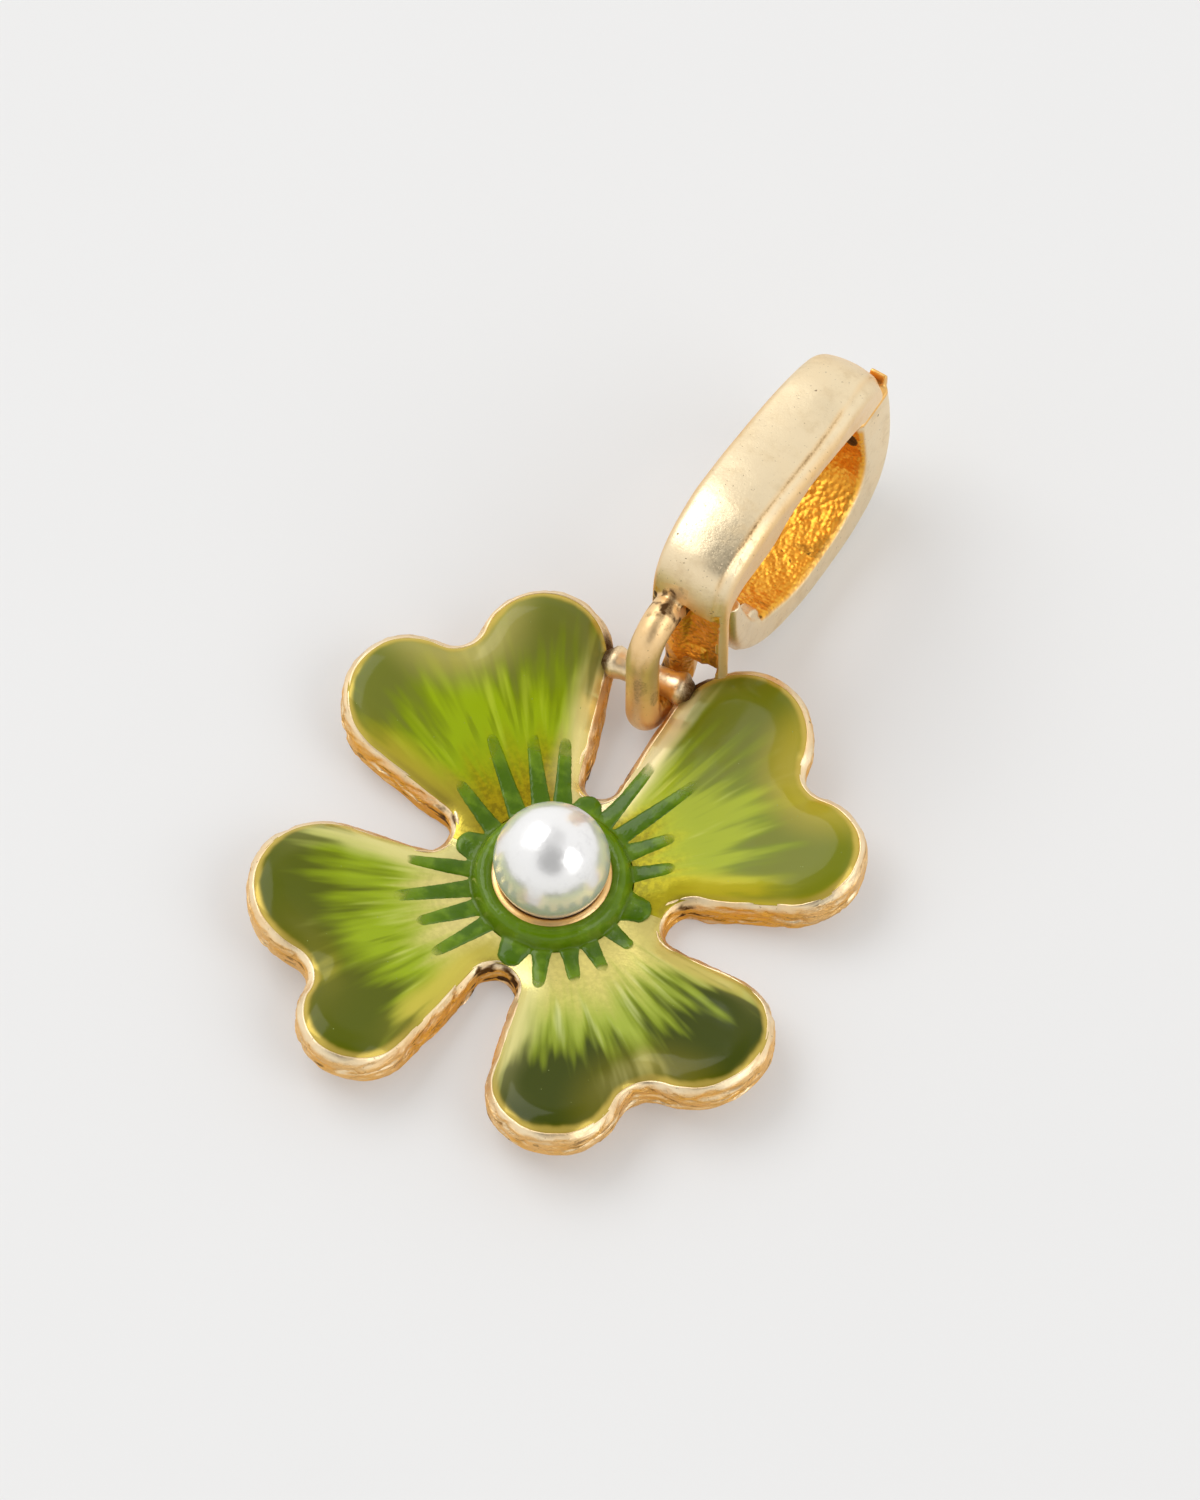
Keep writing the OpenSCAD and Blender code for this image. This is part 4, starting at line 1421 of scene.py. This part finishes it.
@dataclass(frozen=True)
class BailPlace:
    """Where the bail stands: its own X runs across the band, Y along it, and Z up."""

    yaw: float = 6.8
    aside: float = 0.1
    hole: tuple[float, float] = (14.6, 4.6)
    hinge_s: float = 10.95
    hinge_z: float = 2.9
    rod_steps: int = 64

    def place(self, obj: bpy.types.Object) -> None:
        """Move a piece from the bail's own directions to the charm's."""
        turn = Matrix.Rotation(math.radians(-self.yaw), 4, "Z")
        obj.data.transform(turn @ Matrix.Translation((-self.aside, 0, 0)))

    def rod(
        self, name: str, radius: float, start: float, end: float, bevel: float = 0.0
    ) -> bpy.types.Object:
        """Return a round rod across the band on the hinge's line.

        Args:
            name: the object's name.
            radius: the rod's radius.
            start: where it starts, across the band.
            end: where it ends.
            bevel: how much its end edges are broken.

        Returns:
            The rod.
        """
        stations = [(0, start), (radius - bevel, start), (radius, start + bevel)]
        stations += [(radius, x) for x in np.linspace(start + bevel, end - bevel, 6)[1:-1]]
        stations += [(radius, end - bevel), (radius - bevel, end), (0, end)]
        shells = Shells()
        shells.add_rings(rod_rings(stations, self.rod_steps, self.hinge_s, self.hinge_z))
        return shells.build(name)

    def block(self, name: str, low: Point, high: Point) -> bpy.types.Object:
        """Return a block between two corners, with sides fine enough to roughen."""
        cube = bmesh.new()
        bmesh.ops.create_cube(cube, size=1.0)
        bmesh.ops.subdivide_edges(cube, edges=cube.edges, cuts=9, use_grid_fill=True)
        span, centre = np.array(high) - np.array(low), (np.array(high) + np.array(low)) / 2
        points = np.array([v.co[:] for v in cube.verts]) * span + centre
        shells = Shells()
        shells.add(points, [tuple(v.index for v in f.verts) for f in cube.faces])
        cube.free()
        return shells.build(name)

    def inner_share(self, at: np.ndarray, facing: np.ndarray) -> np.ndarray:
        """Return how much each point faces the bail's hole, from 0 to 1."""
        way = np.array([0, *self.hole]) - at
        way[:, 0] = 0
        way /= np.maximum(np.linalg.norm(way, axis=1, keepdims=True), 1e-9)
        return ramp((way * facing).sum(axis=1), 0.25, 0.75)


@dataclass
class BailBand:
    """A half of the bail: a band with rounded edges swept along a curve."""

    rows: np.ndarray
    half_width: float = 1.52
    edge_r: float = 0.3
    crease_in: float = 0.45
    crease_drop: float = 0.0
    crown: float = 0.16
    steps: int = 7

    def curve(self) -> np.ndarray:
        """Return the band's stations: outer s and z, inner s and z, and the loss of half width."""
        return catmull_rom(self.rows, self.steps)

    def section(self, row: np.ndarray) -> np.ndarray:
        """Return one section of the band, round from its outer right edge."""
        outer, inner = row[:2], row[2:4]
        depth = float(np.linalg.norm(inner - outer))
        across = (inner - outer) / depth
        w = self.half_width - row[4]
        r = min(self.edge_r, depth / 2 - 0.02)
        quarter = np.radians(np.linspace(0, 90, 7))
        drop = max(0.0, min(self.crease_drop, depth - 2 * r - 0.06))
        right = [(w - r + r * math.sin(a), drop + r - r * math.cos(a)) for a in quarter]
        right += [(w, y) for y in np.linspace(drop + r, depth - r, 8)[1:-1]]
        right += [(w - r + r * math.cos(a), depth - r + r * math.sin(a)) for a in quarter]
        inside = [(x, depth) for x in np.linspace(w - r, r - w, 14)[1:-1]]
        left = [(-(w - r + r * math.sin(a)), depth - r + r * math.cos(a)) for a in quarter]
        left += [(-w, y) for y in np.linspace(depth - r, r, 8)[1:-1]]
        left += [(-(w - r + r * math.cos(a)), r - r * math.sin(a)) for a in quarter]
        crease, brink = w - self.crease_in, w - r
        outside = [(x, 0.0) for x in np.linspace(r - w, crease, 12)[1:]]
        slope = [
            (x, drop * (x - crease) / (brink - crease)) for x in np.linspace(crease, brink, 4)[1:-1]
        ]
        loop = np.array(right + inside + left + outside + slope)
        loop[:, 1] += self.crown * (loop[:, 0] / w) ** 2 * np.clip(1 - loop[:, 1] / depth, 0, 1)
        place = outer + across * loop[:, 1:2]
        return np.column_stack([loop[:, 0], place])

    def blank(self, name: str) -> bpy.types.Object:
        """Return the band as a closed blank."""
        shells = Shells()
        shells.add_rings(capped([self.section(row) for row in self.curve()]))
        return shells.build(name, turn_out=True)

    def crease_share(self, at: np.ndarray, width: float) -> np.ndarray:
        """Return how near each point lies to the band's crease, from 0 to 1."""
        curve = self.curve()
        outer = curve[:, :2]
        gaps = np.linalg.norm(at[:, None, 1:] - outer[None], axis=2)
        nearest = gaps.argmin(axis=1)
        place = self.half_width - curve[nearest, 4] - self.crease_in
        close = 1 - np.clip(np.abs(at[:, 0] - place) / width, 0, 1)
        return close * (1 - ramp(gaps.min(axis=1), 0.15, 0.4))


FRAME_ROWS = np.array(
    [
        [8.64, 2.60, 9.38, 2.60, 0.06],
        [8.62, 5.00, 9.40, 5.00, 0.04],
        [8.76, 7.10, 9.48, 6.60, 0.06],
        [9.25, 8.30, 10.20, 7.00, 0.08],
        [10.1, 8.85, 11.00, 7.10, 0.04],
        [11.6, 9.20, 12.00, 7.15, 0.00],
        [13.2, 9.08, 13.20, 7.58, 0.00],
        [14.8, 8.80, 14.60, 7.66, 0.00],
        [16.4, 8.50, 16.00, 7.34, 0.03],
        [17.8, 8.30, 17.25, 6.75, 0.12],
        [19.1, 7.82, 18.05, 6.25, 0.20],
        [19.86, 7.00, 18.28, 5.98, 0.25],
        [20.28, 5.88, 18.35, 5.88, 0.30],
    ]
)

GATE_ROWS = np.array(
    [
        [20.45, 5.78, 18.35, 5.78, 0.32],
        [20.55, 4.40, 18.42, 4.60, 0.26],
        [20.45, 2.80, 18.42, 3.40, 0.18],
        [19.95, 1.40, 18.10, 2.55, 0.10],
        [19.00, 0.45, 17.40, 2.05, 0.04],
        [17.50, 0.06, 16.40, 1.82, 0.00],
        [15.90, 0.00, 15.20, 1.76, 0.00],
        [14.30, 0.14, 14.20, 1.84, 0.00],
        [12.90, 0.40, 13.30, 2.00, 0.06],
        [11.90, 0.75, 12.40, 2.40, 0.12],
        [11.00, 1.50, 11.60, 2.95, 0.12],
        [10.22, 2.50, 11.10, 3.60, 0.10],
        [9.76, 3.70, 10.75, 4.40, 0.10],
        [9.58, 4.80, 10.50, 5.20, 0.12],
        [9.60, 6.00, 10.28, 6.00, 0.14],
    ]
)


@dataclass
class BailFrame(Piece):
    """The bail's front with its tongue at the hinge and the long eye soldered into its pocket."""

    body = Body.BAIL
    nodes = ("bail_frame",)

    where: BailPlace
    band: BailBand = field(
        default_factory=lambda: BailBand(FRAME_ROWS, crease_drop=0.12, crown=0.24)
    )
    eye_aside: float = 0.56
    eye_s: float = 8.22
    eye_low: float = 1.92
    eye_high: float = 5.04
    bend_r: float = 1.3
    wire_r: float = 0.585
    wire_sides: int = 36
    pocket_low: Point = (-1.12, 7.5, 1.9)
    pocket_high: Point = (1.16, 9.2, 6.55)
    catch_low: Point = (-0.4, 18.05, 5.53)
    catch_high: Point = (0.4, 18.7, 6.28)
    tongue_r: float = 0.8
    tongue_w: float = 1.1
    tongue_root: float = 9.1
    web_low: float = 2.65
    web_high: float = 3.5
    bore_r: float = 0.33
    grain: float = 0.055
    polish: int = 6

    def eye(self) -> bpy.types.Object:
        """Return the eye: round wire bent to a long loop."""
        bend = polar(self.bend_r, np.linspace(0, 180, 41))
        leg = np.linspace(self.eye_low, self.eye_high, 30)[1:-1]
        far_leg = np.column_stack([np.full_like(leg, -self.bend_r), leg[::-1]])
        near_leg = np.column_stack([np.full_like(leg, self.bend_r), leg])
        line = np.vstack([bend + [0, self.eye_high], far_leg, -bend + [0, self.eye_low], near_leg])
        ahead = np.roll(line, -1, axis=0) - np.roll(line, 1, axis=0)
        ahead /= np.linalg.norm(ahead, axis=1, keepdims=True)
        outward = np.column_stack([ahead[:, 1], -ahead[:, 0]])
        sides, count = self.wire_sides, len(line)
        section = circle(self.wire_r, sides)
        points, faces = [], []
        for place, out in zip(line, outward):
            bent = section[:, 1:] * out + place + [self.eye_s, 0]
            points.append(np.column_stack([section[:, 0] - self.eye_aside, bent]))
        for k in range(count):
            here, after = k * sides, (k + 1) % count * sides
            for j in range(sides):
                on = (j + 1) % sides
                faces.append((here + j, here + on, after + on, after + j))
        shells = Shells()
        shells.add(np.vstack(points), faces)
        return shells.build("eye_wire", turn_out=True)

    def shape(self) -> bpy.types.Object:
        """Return the bail's front in millimetres, with its marks."""
        where, half = self.where, self.tongue_w / 2
        obj = self.band.blank("bail_front")
        pocket = where.block("pocket", self.pocket_low, self.pocket_high)
        at = places(pocket)
        ragged = np.column_stack([noise(at * 1.7, seed) for seed in (101, 102, 103)])
        shift(pocket, ragged * [0.08, 0.1, 0.25])
        join_tool(obj, pocket, Joinery.CUT)
        join_tool(obj, where.block("catch", self.catch_low, self.catch_high), Joinery.CUT)
        join_tool(obj, self.eye(), Joinery.ADD)
        join_tool(obj, where.rod("tongue", self.tongue_r, -half, half), Joinery.ADD)
        low, high = (-half, self.tongue_root, self.web_low), (half, where.hinge_s, self.web_high)
        join_tool(obj, where.block("web", low, high), Joinery.ADD)
        bore = where.rod("bore", self.bore_r, -self.tongue_w, self.tongue_w)
        join_tool(obj, bore, Joinery.CUT)
        fuse(obj, self.grain, self.polish)
        self.weather(obj)
        where.place(obj)
        return obj

    def weather(self, obj: bpy.types.Object) -> None:
        """Roughen the cast skin and mark where orange reflection and shade are painted on the gold
        and where it tarnished.
        """
        at, facing = places(obj), normals(obj)
        inner = self.where.inner_share(at, facing)
        eye = (at[:, 1] < 8.9) & (at[:, 0] < 0.05) | (at[:, 2] < 2.5)
        pocket = ramp(at[:, 1], 8.78, 8.95) * (1 - ramp(at[:, 1], 9.25, 9.4)) * (at[:, 2] < 6.8)
        pocket *= np.abs(at[:, 0]) < 1.25
        skin = 0.010 * layered_noise(at * 1.1, 111) + 0.022 * inner * layered_noise(at * 3.0, 121)
        skin += 0.035 * pocket * layered_noise(at * 3.2, 125)
        shift(obj, facing * (skin - 0.004)[:, None])
        crease = self.band.crease_share(at, 0.16) * ramp(noise(at * 1.3, 131), -0.9, 0.3)
        # Painted shade and orange reflection at the band's lower end
        shaded_low_end = (1 - ramp(at[:, 2], 6.2, 7.6)) * (~eye) * (1 - ramp(at[:, 0], 0.6, 1.2))
        brink = ramp(np.abs(at[:, 0]), 1.2, 1.5) * (1 - inner) * (~eye)
        # Painted orange reflection on the eye's side that faces its hole
        toward = np.column_stack([np.full(len(at), 0.4), self.eye_s - at[:, 1], 3.5 - at[:, 2]])
        toward /= np.linalg.norm(toward, axis=1, keepdims=True)
        bore = eye * ramp((toward * facing).sum(axis=1), 0.1, 0.7)
        # Painted orange reflection and shade: inner faces, pocket, lower end, side walls and the
        # eye, more lower down; the crease adds its worn orange tone
        painted_bounce_and_tone = 0.85 * inner + 0.9 * pocket + 0.8 * shaded_low_end + 0.4 * brink + 0.8 * bore
        painted_bounce_and_tone += 0.22 * (1 - ramp(at[:, 2], 6.0, 8.6)) + 0.4 * crease + 0.25 * eye
        mark(obj, "painted_bounce_and_tone", np.clip(painted_bounce_and_tone, 0, 1))
        mark(obj, "hammer", np.clip(inner + pocket, 0, 1))
        low = 0.75 * (1 - ramp(at[:, 2], 5.2, 7.8)) * (1 - inner) * (1 - pocket)
        mark(obj, "satin", np.clip(np.where(eye, 0.35, low), 0, 1))
        joint = np.linalg.norm(at - np.array([-0.5, 8.75, 6.1]), axis=1)
        blots = ramp(layered_noise(at * 3.6, 135), 0.05, 0.6)
        solder = (1 - ramp(joint, 0.3, 1.3)) * blots * 0.6
        inside_eye = eye * (1 - ramp(np.abs(at[:, 1] - self.eye_s), 0.7, 0.95))
        scuffs = eye * ramp(noise(at * np.array([2.2, 2.2, 0.9]), 137), 0.2, 0.6)
        stain = 0.62 * crease + 0.5 * scuffs + solder
        stain += 0.35 * inside_eye * (0.5 + blots) + 0.5 * pocket * blots
        mark(obj, "tarnish_and_painted_shade", np.clip(stain, 0, 1))


@dataclass
class BailGate(Piece):
    """The bail's back, which swings open: two ears, a horn above them and a fingernail lip."""

    body = Body.GATE
    nodes = ("bail_gate",)

    where: BailPlace
    band: BailBand = field(default_factory=lambda: BailBand(GATE_ROWS, crease_in=0.5))
    ear_r: float = 0.8
    ear_out: float = 1.2
    ear_bevel: float = 0.08
    lip_span: tuple[float, float] = (0.3, 0.95)
    lip: tuple[tuple[float, float], ...] = (
        (20.05, 5.45), (20.50, 5.00), (20.55, 5.85), (20.50, 6.15), (20.38, 6.15),
    )
    horn_from: float = 0.15
    cut_from: float = 9.3
    cut_top: float = 6.5
    eye_room_to: float = 10.9
    slot_r: float = 0.88
    slot_half: float = 0.63
    slot_low: float = 1.7
    bore_r: float = 0.33
    pin_end: float = 0.22
    hammer: float = 0.055
    grain: float = 0.055
    polish: int = 5

    def lip_block(self) -> bpy.types.Object:
        """Return the lip that a fingernail opens the gate by."""
        profile = np.array(self.lip)
        ends = [np.column_stack([np.full(len(profile), x), profile]) for x in self.lip_span]
        shells = Shells()
        shells.add_rings(capped(ends))
        return shells.build("lip", turn_out=True)

    def shape(self) -> bpy.types.Object:
        """Return the bail's back in millimetres, with its marks."""
        where, half, out = self.where, self.slot_half, self.ear_out
        obj = self.band.blank("bail_back")
        low, high = (-3.0, self.cut_from, 0.0), (self.horn_from, self.eye_room_to, self.cut_top)
        join_tool(obj, where.block("eye_room", low, high), Joinery.CUT)
        join_tool(obj, where.rod("ears", self.ear_r, -out, out, self.ear_bevel), Joinery.ADD)
        join_tool(obj, self.lip_block(), Joinery.ADD)
        join_tool(obj, where.rod("slot", self.slot_r, -half, half), Joinery.CUT)
        low, high = (-half, self.cut_from, self.slot_low), (half, where.hinge_s, self.cut_top)
        join_tool(obj, where.block("slot_mouth", low, high), Joinery.CUT)
        bore = where.rod("bore", self.bore_r, -2 * out, out - self.pin_end)
        join_tool(obj, bore, Joinery.CUT)
        fuse(obj, self.grain, self.polish)
        self.weather(obj)
        where.place(obj)
        return obj

    def weather(self, obj: bpy.types.Object) -> None:
        """Hammer the inner face, mark where orange reflection is painted on the gold, and mark
        where it tarnished, with a painted dark spot of shade.
        """
        at, facing = places(obj), normals(obj)
        inner = self.where.inner_share(at, facing) * (at[:, 1] > 11.6)
        inner *= 1 - ramp(at[:, 2], 5.2, 5.6)
        grains = layered_noise(at * 1.9, 141) + 0.35 * noise(at * 5.5, 151)
        pits = np.maximum(noise(at * 2.3, 161) - 0.3, 0)
        skin = inner * self.hammer * (0.7 * grains - 0.4 * pits)
        skin += 0.008 * layered_noise(at * 1.2, 171)
        shift(obj, facing * (skin - 0.004)[:, None])
        edge = ramp(np.abs(at[:, 0]), 1.1, 1.45) * inner
        end = ramp(at[:, 2], 5.6, 5.7) * (at[:, 1] > 18)
        # Painted orange reflection on the inner face and at the lip's end
        mark(obj, "painted_bounce_and_tone", np.clip(inner * 1.15 - edge * 0.3 + end * 0.7, 0, 1))
        mark(obj, "hammer", inner)
        blots = ramp(layered_noise(at * 1.7, 165), 0.25, 0.7)
        stain = inner * (0.5 * blots + 0.3 * (grains < -0.5))
        # A painted dark spot of shade where a hole would be, near the gate's far end; it rides in
        # the tarnish mark
        from_notch = (at - np.array([0.75, 18.35, 4.6])) / np.array([0.3, 0.5, 0.4])
        notch = np.linalg.norm(from_notch, axis=1)
        stain += 0.9 * (1 - ramp(notch, 0.8, 1.1))
        hinge = np.hypot(at[:, 1] - self.where.hinge_s, at[:, 2] - self.where.hinge_z)
        stain += 0.35 * (1 - ramp(hinge, 0.8, 1.3)) * (np.abs(at[:, 0]) < 1.3)
        mark(obj, "tarnish_and_painted_shade", np.clip(stain, 0, 1))


@dataclass
class HingePin(Piece):
    """The gate's pin."""

    body = Body.BAIL
    nodes = ("hinge_pin",)

    where: BailPlace
    radius: float = 0.3
    start: float = -1.16
    end: float = 0.94
    bevel: float = 0.06

    def shape(self) -> bpy.types.Object:
        """Return the pin in millimetres, with its marks."""
        obj = self.where.rod("gate_pin", self.radius, self.start, self.end, self.bevel)
        # An even share of the painted orange reflection tone, and of tarnish
        for name, share in (("painted_bounce_and_tone", 0.35), ("tarnish_and_painted_shade", 0.3)):
            mark(obj, name, np.full(len(obj.data.vertices), share))
        self.where.place(obj)
        return obj


# ---- Bubbles, scattered by Geometry Nodes


@dataclass
class Bubbles(Piece):
    """Pinhead bubbles and specks that stand in the skin of the finished leaves' enamel."""

    slot = Slot.LEAF_ENAMEL

    leaves: list[bpy.types.Object]
    skin: bpy.types.Material
    density: float = 0.5
    radius: float = 0.022
    smallest: float = 0.35
    sunk: float = 0.012
    seed: int = 7

    def tree(self) -> bpy.types.NodeTree:
        """Return the tree that scatters bubbles where the mark top is set."""
        tree = bpy.data.node_groups.new("scatter_bubbles", "GeometryNodeTree")
        face = tree.interface
        face.new_socket("Enamel", in_out="INPUT", socket_type="NodeSocketGeometry")
        face.new_socket("Density", in_out="INPUT", socket_type="NodeSocketFloat")
        face.new_socket("Radius", in_out="INPUT", socket_type="NodeSocketFloat")
        face.new_socket("Bubbles", in_out="OUTPUT", socket_type="NodeSocketGeometry")
        new = tree.nodes.new
        start, end = new("NodeGroupInput"), new("NodeGroupOutput")
        top = new("GeometryNodeInputNamedAttribute")
        top.data_type = "FLOAT"
        top.inputs["Name"].default_value = "top"
        strew = new("GeometryNodeDistributePointsOnFaces")
        strew.inputs["Seed"].default_value = self.seed
        ball = new("GeometryNodeMeshIcoSphere")
        ball.inputs["Subdivisions"].default_value = 2
        size = new("FunctionNodeRandomValue")
        size.data_type = "FLOAT"
        size.inputs[2].default_value = self.smallest
        size.inputs[3].default_value = 1.0
        size.inputs["Seed"].default_value = self.seed + 1
        place = new("GeometryNodeInstanceOnPoints")
        real = new("GeometryNodeRealizeInstances")
        dress = new("GeometryNodeSetMaterial")
        dress.inputs["Material"].default_value = self.skin
        links = (
            (start, "Enamel", strew, "Mesh"),
            (start, "Density", strew, "Density"),
            (top, "Attribute", strew, "Selection"),
            (start, "Radius", ball, "Radius"),
            (strew, "Points", place, "Points"),
            (ball, "Mesh", place, "Instance"),
            (size, 1, place, "Scale"),
            (place, "Instances", real, "Geometry"),
            (real, "Geometry", dress, "Geometry"),
            (dress, "Geometry", end, "Bubbles"),
        )
        for source, output, target, entry in links:
            tree.links.new(source.outputs[output], target.inputs[entry])
        return tree

    def shape(self) -> bpy.types.Object:
        """Return the bubbles in millimetres, scattered over the leaves."""
        work = bmesh.new()
        for leaf in self.leaves:
            work.from_mesh(leaf.data)
        mesh = bpy.data.meshes.new("enamel_bubbles")
        work.to_mesh(mesh)
        work.free()
        mesh.transform(Matrix.Scale(1 / METRES, 4))
        obj = new_object("enamel_bubbles", mesh)
        scatter = obj.modifiers.new("scatter", "NODES")
        scatter.node_group = self.tree()
        sockets = scatter.node_group.interface.items_tree
        inputs = {item.name: item.identifier for item in sockets if item.in_out == "INPUT"}
        scatter[inputs["Density"]] = self.density
        scatter[inputs["Radius"]] = self.radius
        settle(obj)
        shift(obj, np.array([0, 0, -self.sunk]))
        return obj


# ---- Studio


@dataclass(frozen=True)
class Softbox:
    """A large soft light that looks at the charm, with its direction in the picture's terms."""

    name: str
    right: float
    ahead: float
    up: float
    size: tuple[float, float]
    power: float
    reach: float


@dataclass
class Studio:
    """The floor, the soft light and the camera at the photograph's angle."""

    elevation: float = 61.0
    around: float = 25.0
    distance: float = 450.0
    sensor: float = 36.0
    scale: float = 29.3
    middle: tuple[float, float] = (552.0, 895.0)
    image: tuple[float, float] = (1200.0, 1500.0)
    floor_half: float = 1.5
    world: float = 0.98
    overhead: float = 0.55
    behind: float = 0.08
    boxes: tuple[Softbox, ...] = (
        Softbox("key", -0.72, 0.62, 1.2, (0.55, 0.42), 1.84, 0.7),
        Softbox("fill", 0.9, -0.5, 0.9, (0.5, 0.5), 1.36, 0.8),
    )

    def ground(self) -> tuple[Vector, Vector, Vector]:
        """Return the picture's right, the way that the camera looks along the floor, and up."""
        a = math.radians(self.around)
        ahead = Vector((-math.sin(a), math.cos(a), 0))
        return Vector((math.cos(a), math.sin(a), 0)), ahead, Vector((0, 0, 1))

    def axes(self) -> tuple[Vector, Vector, Vector]:
        """Return the picture's right, its up and the way back to the camera."""
        right, ahead, sky = self.ground()
        e = math.radians(self.elevation)
        back = -ahead * math.cos(e) + sky * math.sin(e)
        up = ahead * math.sin(e) + sky * math.cos(e)
        return right, up, back

    def camera(self) -> None:
        """Set the camera up."""
        right, up, back = self.axes()
        data = bpy.data.cameras.new("camera")
        data.sensor_fit = "VERTICAL"
        data.sensor_height = self.sensor
        data.lens = self.scale * self.distance / self.image[1] * self.sensor
        data.clip_start, data.clip_end = 0.01, 10.0
        data.dof.use_dof = False
        obj = new_object("camera", data)
        aside = (self.image[0] / 2 - self.middle[0]) / self.scale
        above = (self.middle[1] - self.image[1] / 2) / self.scale
        obj.location = (back * self.distance + right * aside + up * above) * METRES
        obj.rotation_euler = Matrix((right, up, back)).transposed().to_euler()
        bpy.context.scene.camera = obj

    def softbox(self, box: Softbox) -> None:
        """Add a soft light."""
        right, ahead, sky = self.ground()
        way = sky * box.up + right * box.right + ahead * box.ahead
        data = bpy.data.lights.new(box.name, "AREA")
        data.shape = "RECTANGLE"
        data.size, data.size_y = box.size
        data.energy = box.power
        obj = new_object(box.name, data)
        obj.location = way.normalized() * box.reach
        obj.rotation_euler = way.to_track_quat("Z", "Y").to_euler()

    def floor(self) -> None:
        """Lay the floor."""
        half = self.floor_half
        corners = [(-half, -half, 0), (half, -half, 0), (half, half, 0), (-half, half, 0)]
        mesh = bpy.data.meshes.new("floor")
        mesh.from_pydata(corners, [], [(0, 1, 2, 3)])
        mesh.materials.append(FloorFinish().make())
        obj = new_object("floor", mesh)

    def cards(self) -> list[tuple[Vector, float, float, float]]:
        """Return the dark cards: direction, cosines of their edge and core, and brightness."""
        _, ahead, sky = self.ground()
        _, _, back = self.axes()
        return [(ahead * 0.30 + sky, 0.86, 0.97, self.overhead), (back, 0.80, 0.97, self.behind)]

    def room(self) -> None:
        """Light the room evenly in pale grey, but for the dark cards."""
        world = bpy.data.worlds.new("room")
        world.use_nodes = True
        tree = world.node_tree
        backdrop = tree.nodes["Background"]
        place = tree.nodes.new("ShaderNodeTexCoord")
        light = None
        for way, near, core, level in self.cards():
            toward = tree.nodes.new("ShaderNodeVectorMath")
            toward.operation = "DOT_PRODUCT"
            toward.inputs[1].default_value = way.normalized()
            shade = tree.nodes.new("ShaderNodeMapRange")
            shade.interpolation_type = "SMOOTHSTEP"
            for socket, value in zip(list(shade.inputs)[1:5], (near, core, 1.0, level)):
                socket.default_value = value
            tree.links.new(place.outputs["Generated"], toward.inputs[0])
            tree.links.new(toward.outputs["Value"], shade.inputs["Value"])
            result = Wire(tree, shade.outputs[0])
            light = result if light is None else light * result
        tree.links.new(light.socket, backdrop.inputs["Color"])
        backdrop.inputs["Strength"].default_value = self.world
        bpy.context.scene.world = world

    def build(self) -> None:
        """Set up the whole studio."""
        self.camera()
        self.floor()
        self.room()
        for box in self.boxes:
            self.softbox(box)
        settings = bpy.context.scene.view_settings
        settings.view_transform = "Standard"
        settings.look = "None"


# The leaves' finishes, in the order of their nodes
LEAF_TINTS = (
    LeafEnamelFinish(
        "leaf_green_right",
        heart=(0.38, 0.33, 0.010),
        seed=1.3,
        first_side=(0.47, 0.38, 0.012),
        last_side=(0.90, 0.74, 0.42),
        cleft=(0.42, 0.34, 0.030),
        dark=(0.172, 0.190, 0.010),
        middle=(0.360, 0.420, 0.010),
        light=(0.560, 0.580, 0.090),
        shrink=-0.3,
    ),
    LeafEnamelFinish(
        "leaf_green_top",
        heart=(0.42, 0.31, 0.004),
        seed=12.7,
        first_side=(0.84, 0.70, 0.28),
        last_side=(0.48, 0.38, 0.040),
        cleft=(0.38, 0.34, 0.085),
        dark=(0.150, 0.165, 0.020),
        middle=(0.285, 0.385, 0.002),
        light=(0.430, 0.520, 0.030),
        heart_end=6.0,
        shrink=0.25,
    ),
    LeafEnamelFinish(
        "leaf_green_left",
        heart=(0.80, 0.68, 0.24),
        seed=23.1,
        first_side=(0.74, 0.66, 0.26),
        last_side=(0.60, 0.50, 0.07),
        cleft=(0.115, 0.120, 0.006),
        dark=(0.086, 0.102, 0.003),
        middle=(0.290, 0.385, 0.008),
        light=(0.500, 0.550, 0.110),
        outer=(0.200, 0.165, 0.003),
        grit=0.85,
        heart_end=6.0,
        shrink=-0.25,
    ),
    LeafEnamelFinish(
        "leaf_green_low",
        heart=(0.78, 0.66, 0.20),
        seed=34.9,
        first_side=(0.72, 0.65, 0.26),
        last_side=(0.64, 0.53, 0.16),
        cleft=(0.125, 0.115, 0.003),
        shrink=-0.6,
        dark=(0.040, 0.052, 0.001),
        middle=(0.350, 0.420, 0.050),
        light=(0.620, 0.650, 0.260),
        outer=(0.160, 0.135, 0.003),
        grit=0.85,
        heart_end=6.2,
    ),
)


def main() -> None:
    """Build the charm's pieces in order and dress them."""
    logging.basicConfig(level=logging.INFO, format="%(name)s: %(message)s")
    Studio().build()
    gold = GoldFinish().make()
    CloverCasting(OUTLINE).build(gold)
    leaves = [LeafEnamel(OUTLINE, leaf) for leaf in range(LEAVES)]
    enamelled = [leaf.build(tint.make()) for leaf, tint in zip(leaves, LEAF_TINTS)]
    HubEnamel(OUTLINE, leaves).build(HubEnamelFinish().make())
    Pearl().build(PearlFinish().make())
    skin = BubbleFinish().make()
    Bubbles(enamelled, skin).build(skin)
    where = BailPlace()
    BailFrame(where).build(gold)
    BailGate(where).build(gold)
    HingePin(where).build(gold)


if __name__ == "__main__":
    main()
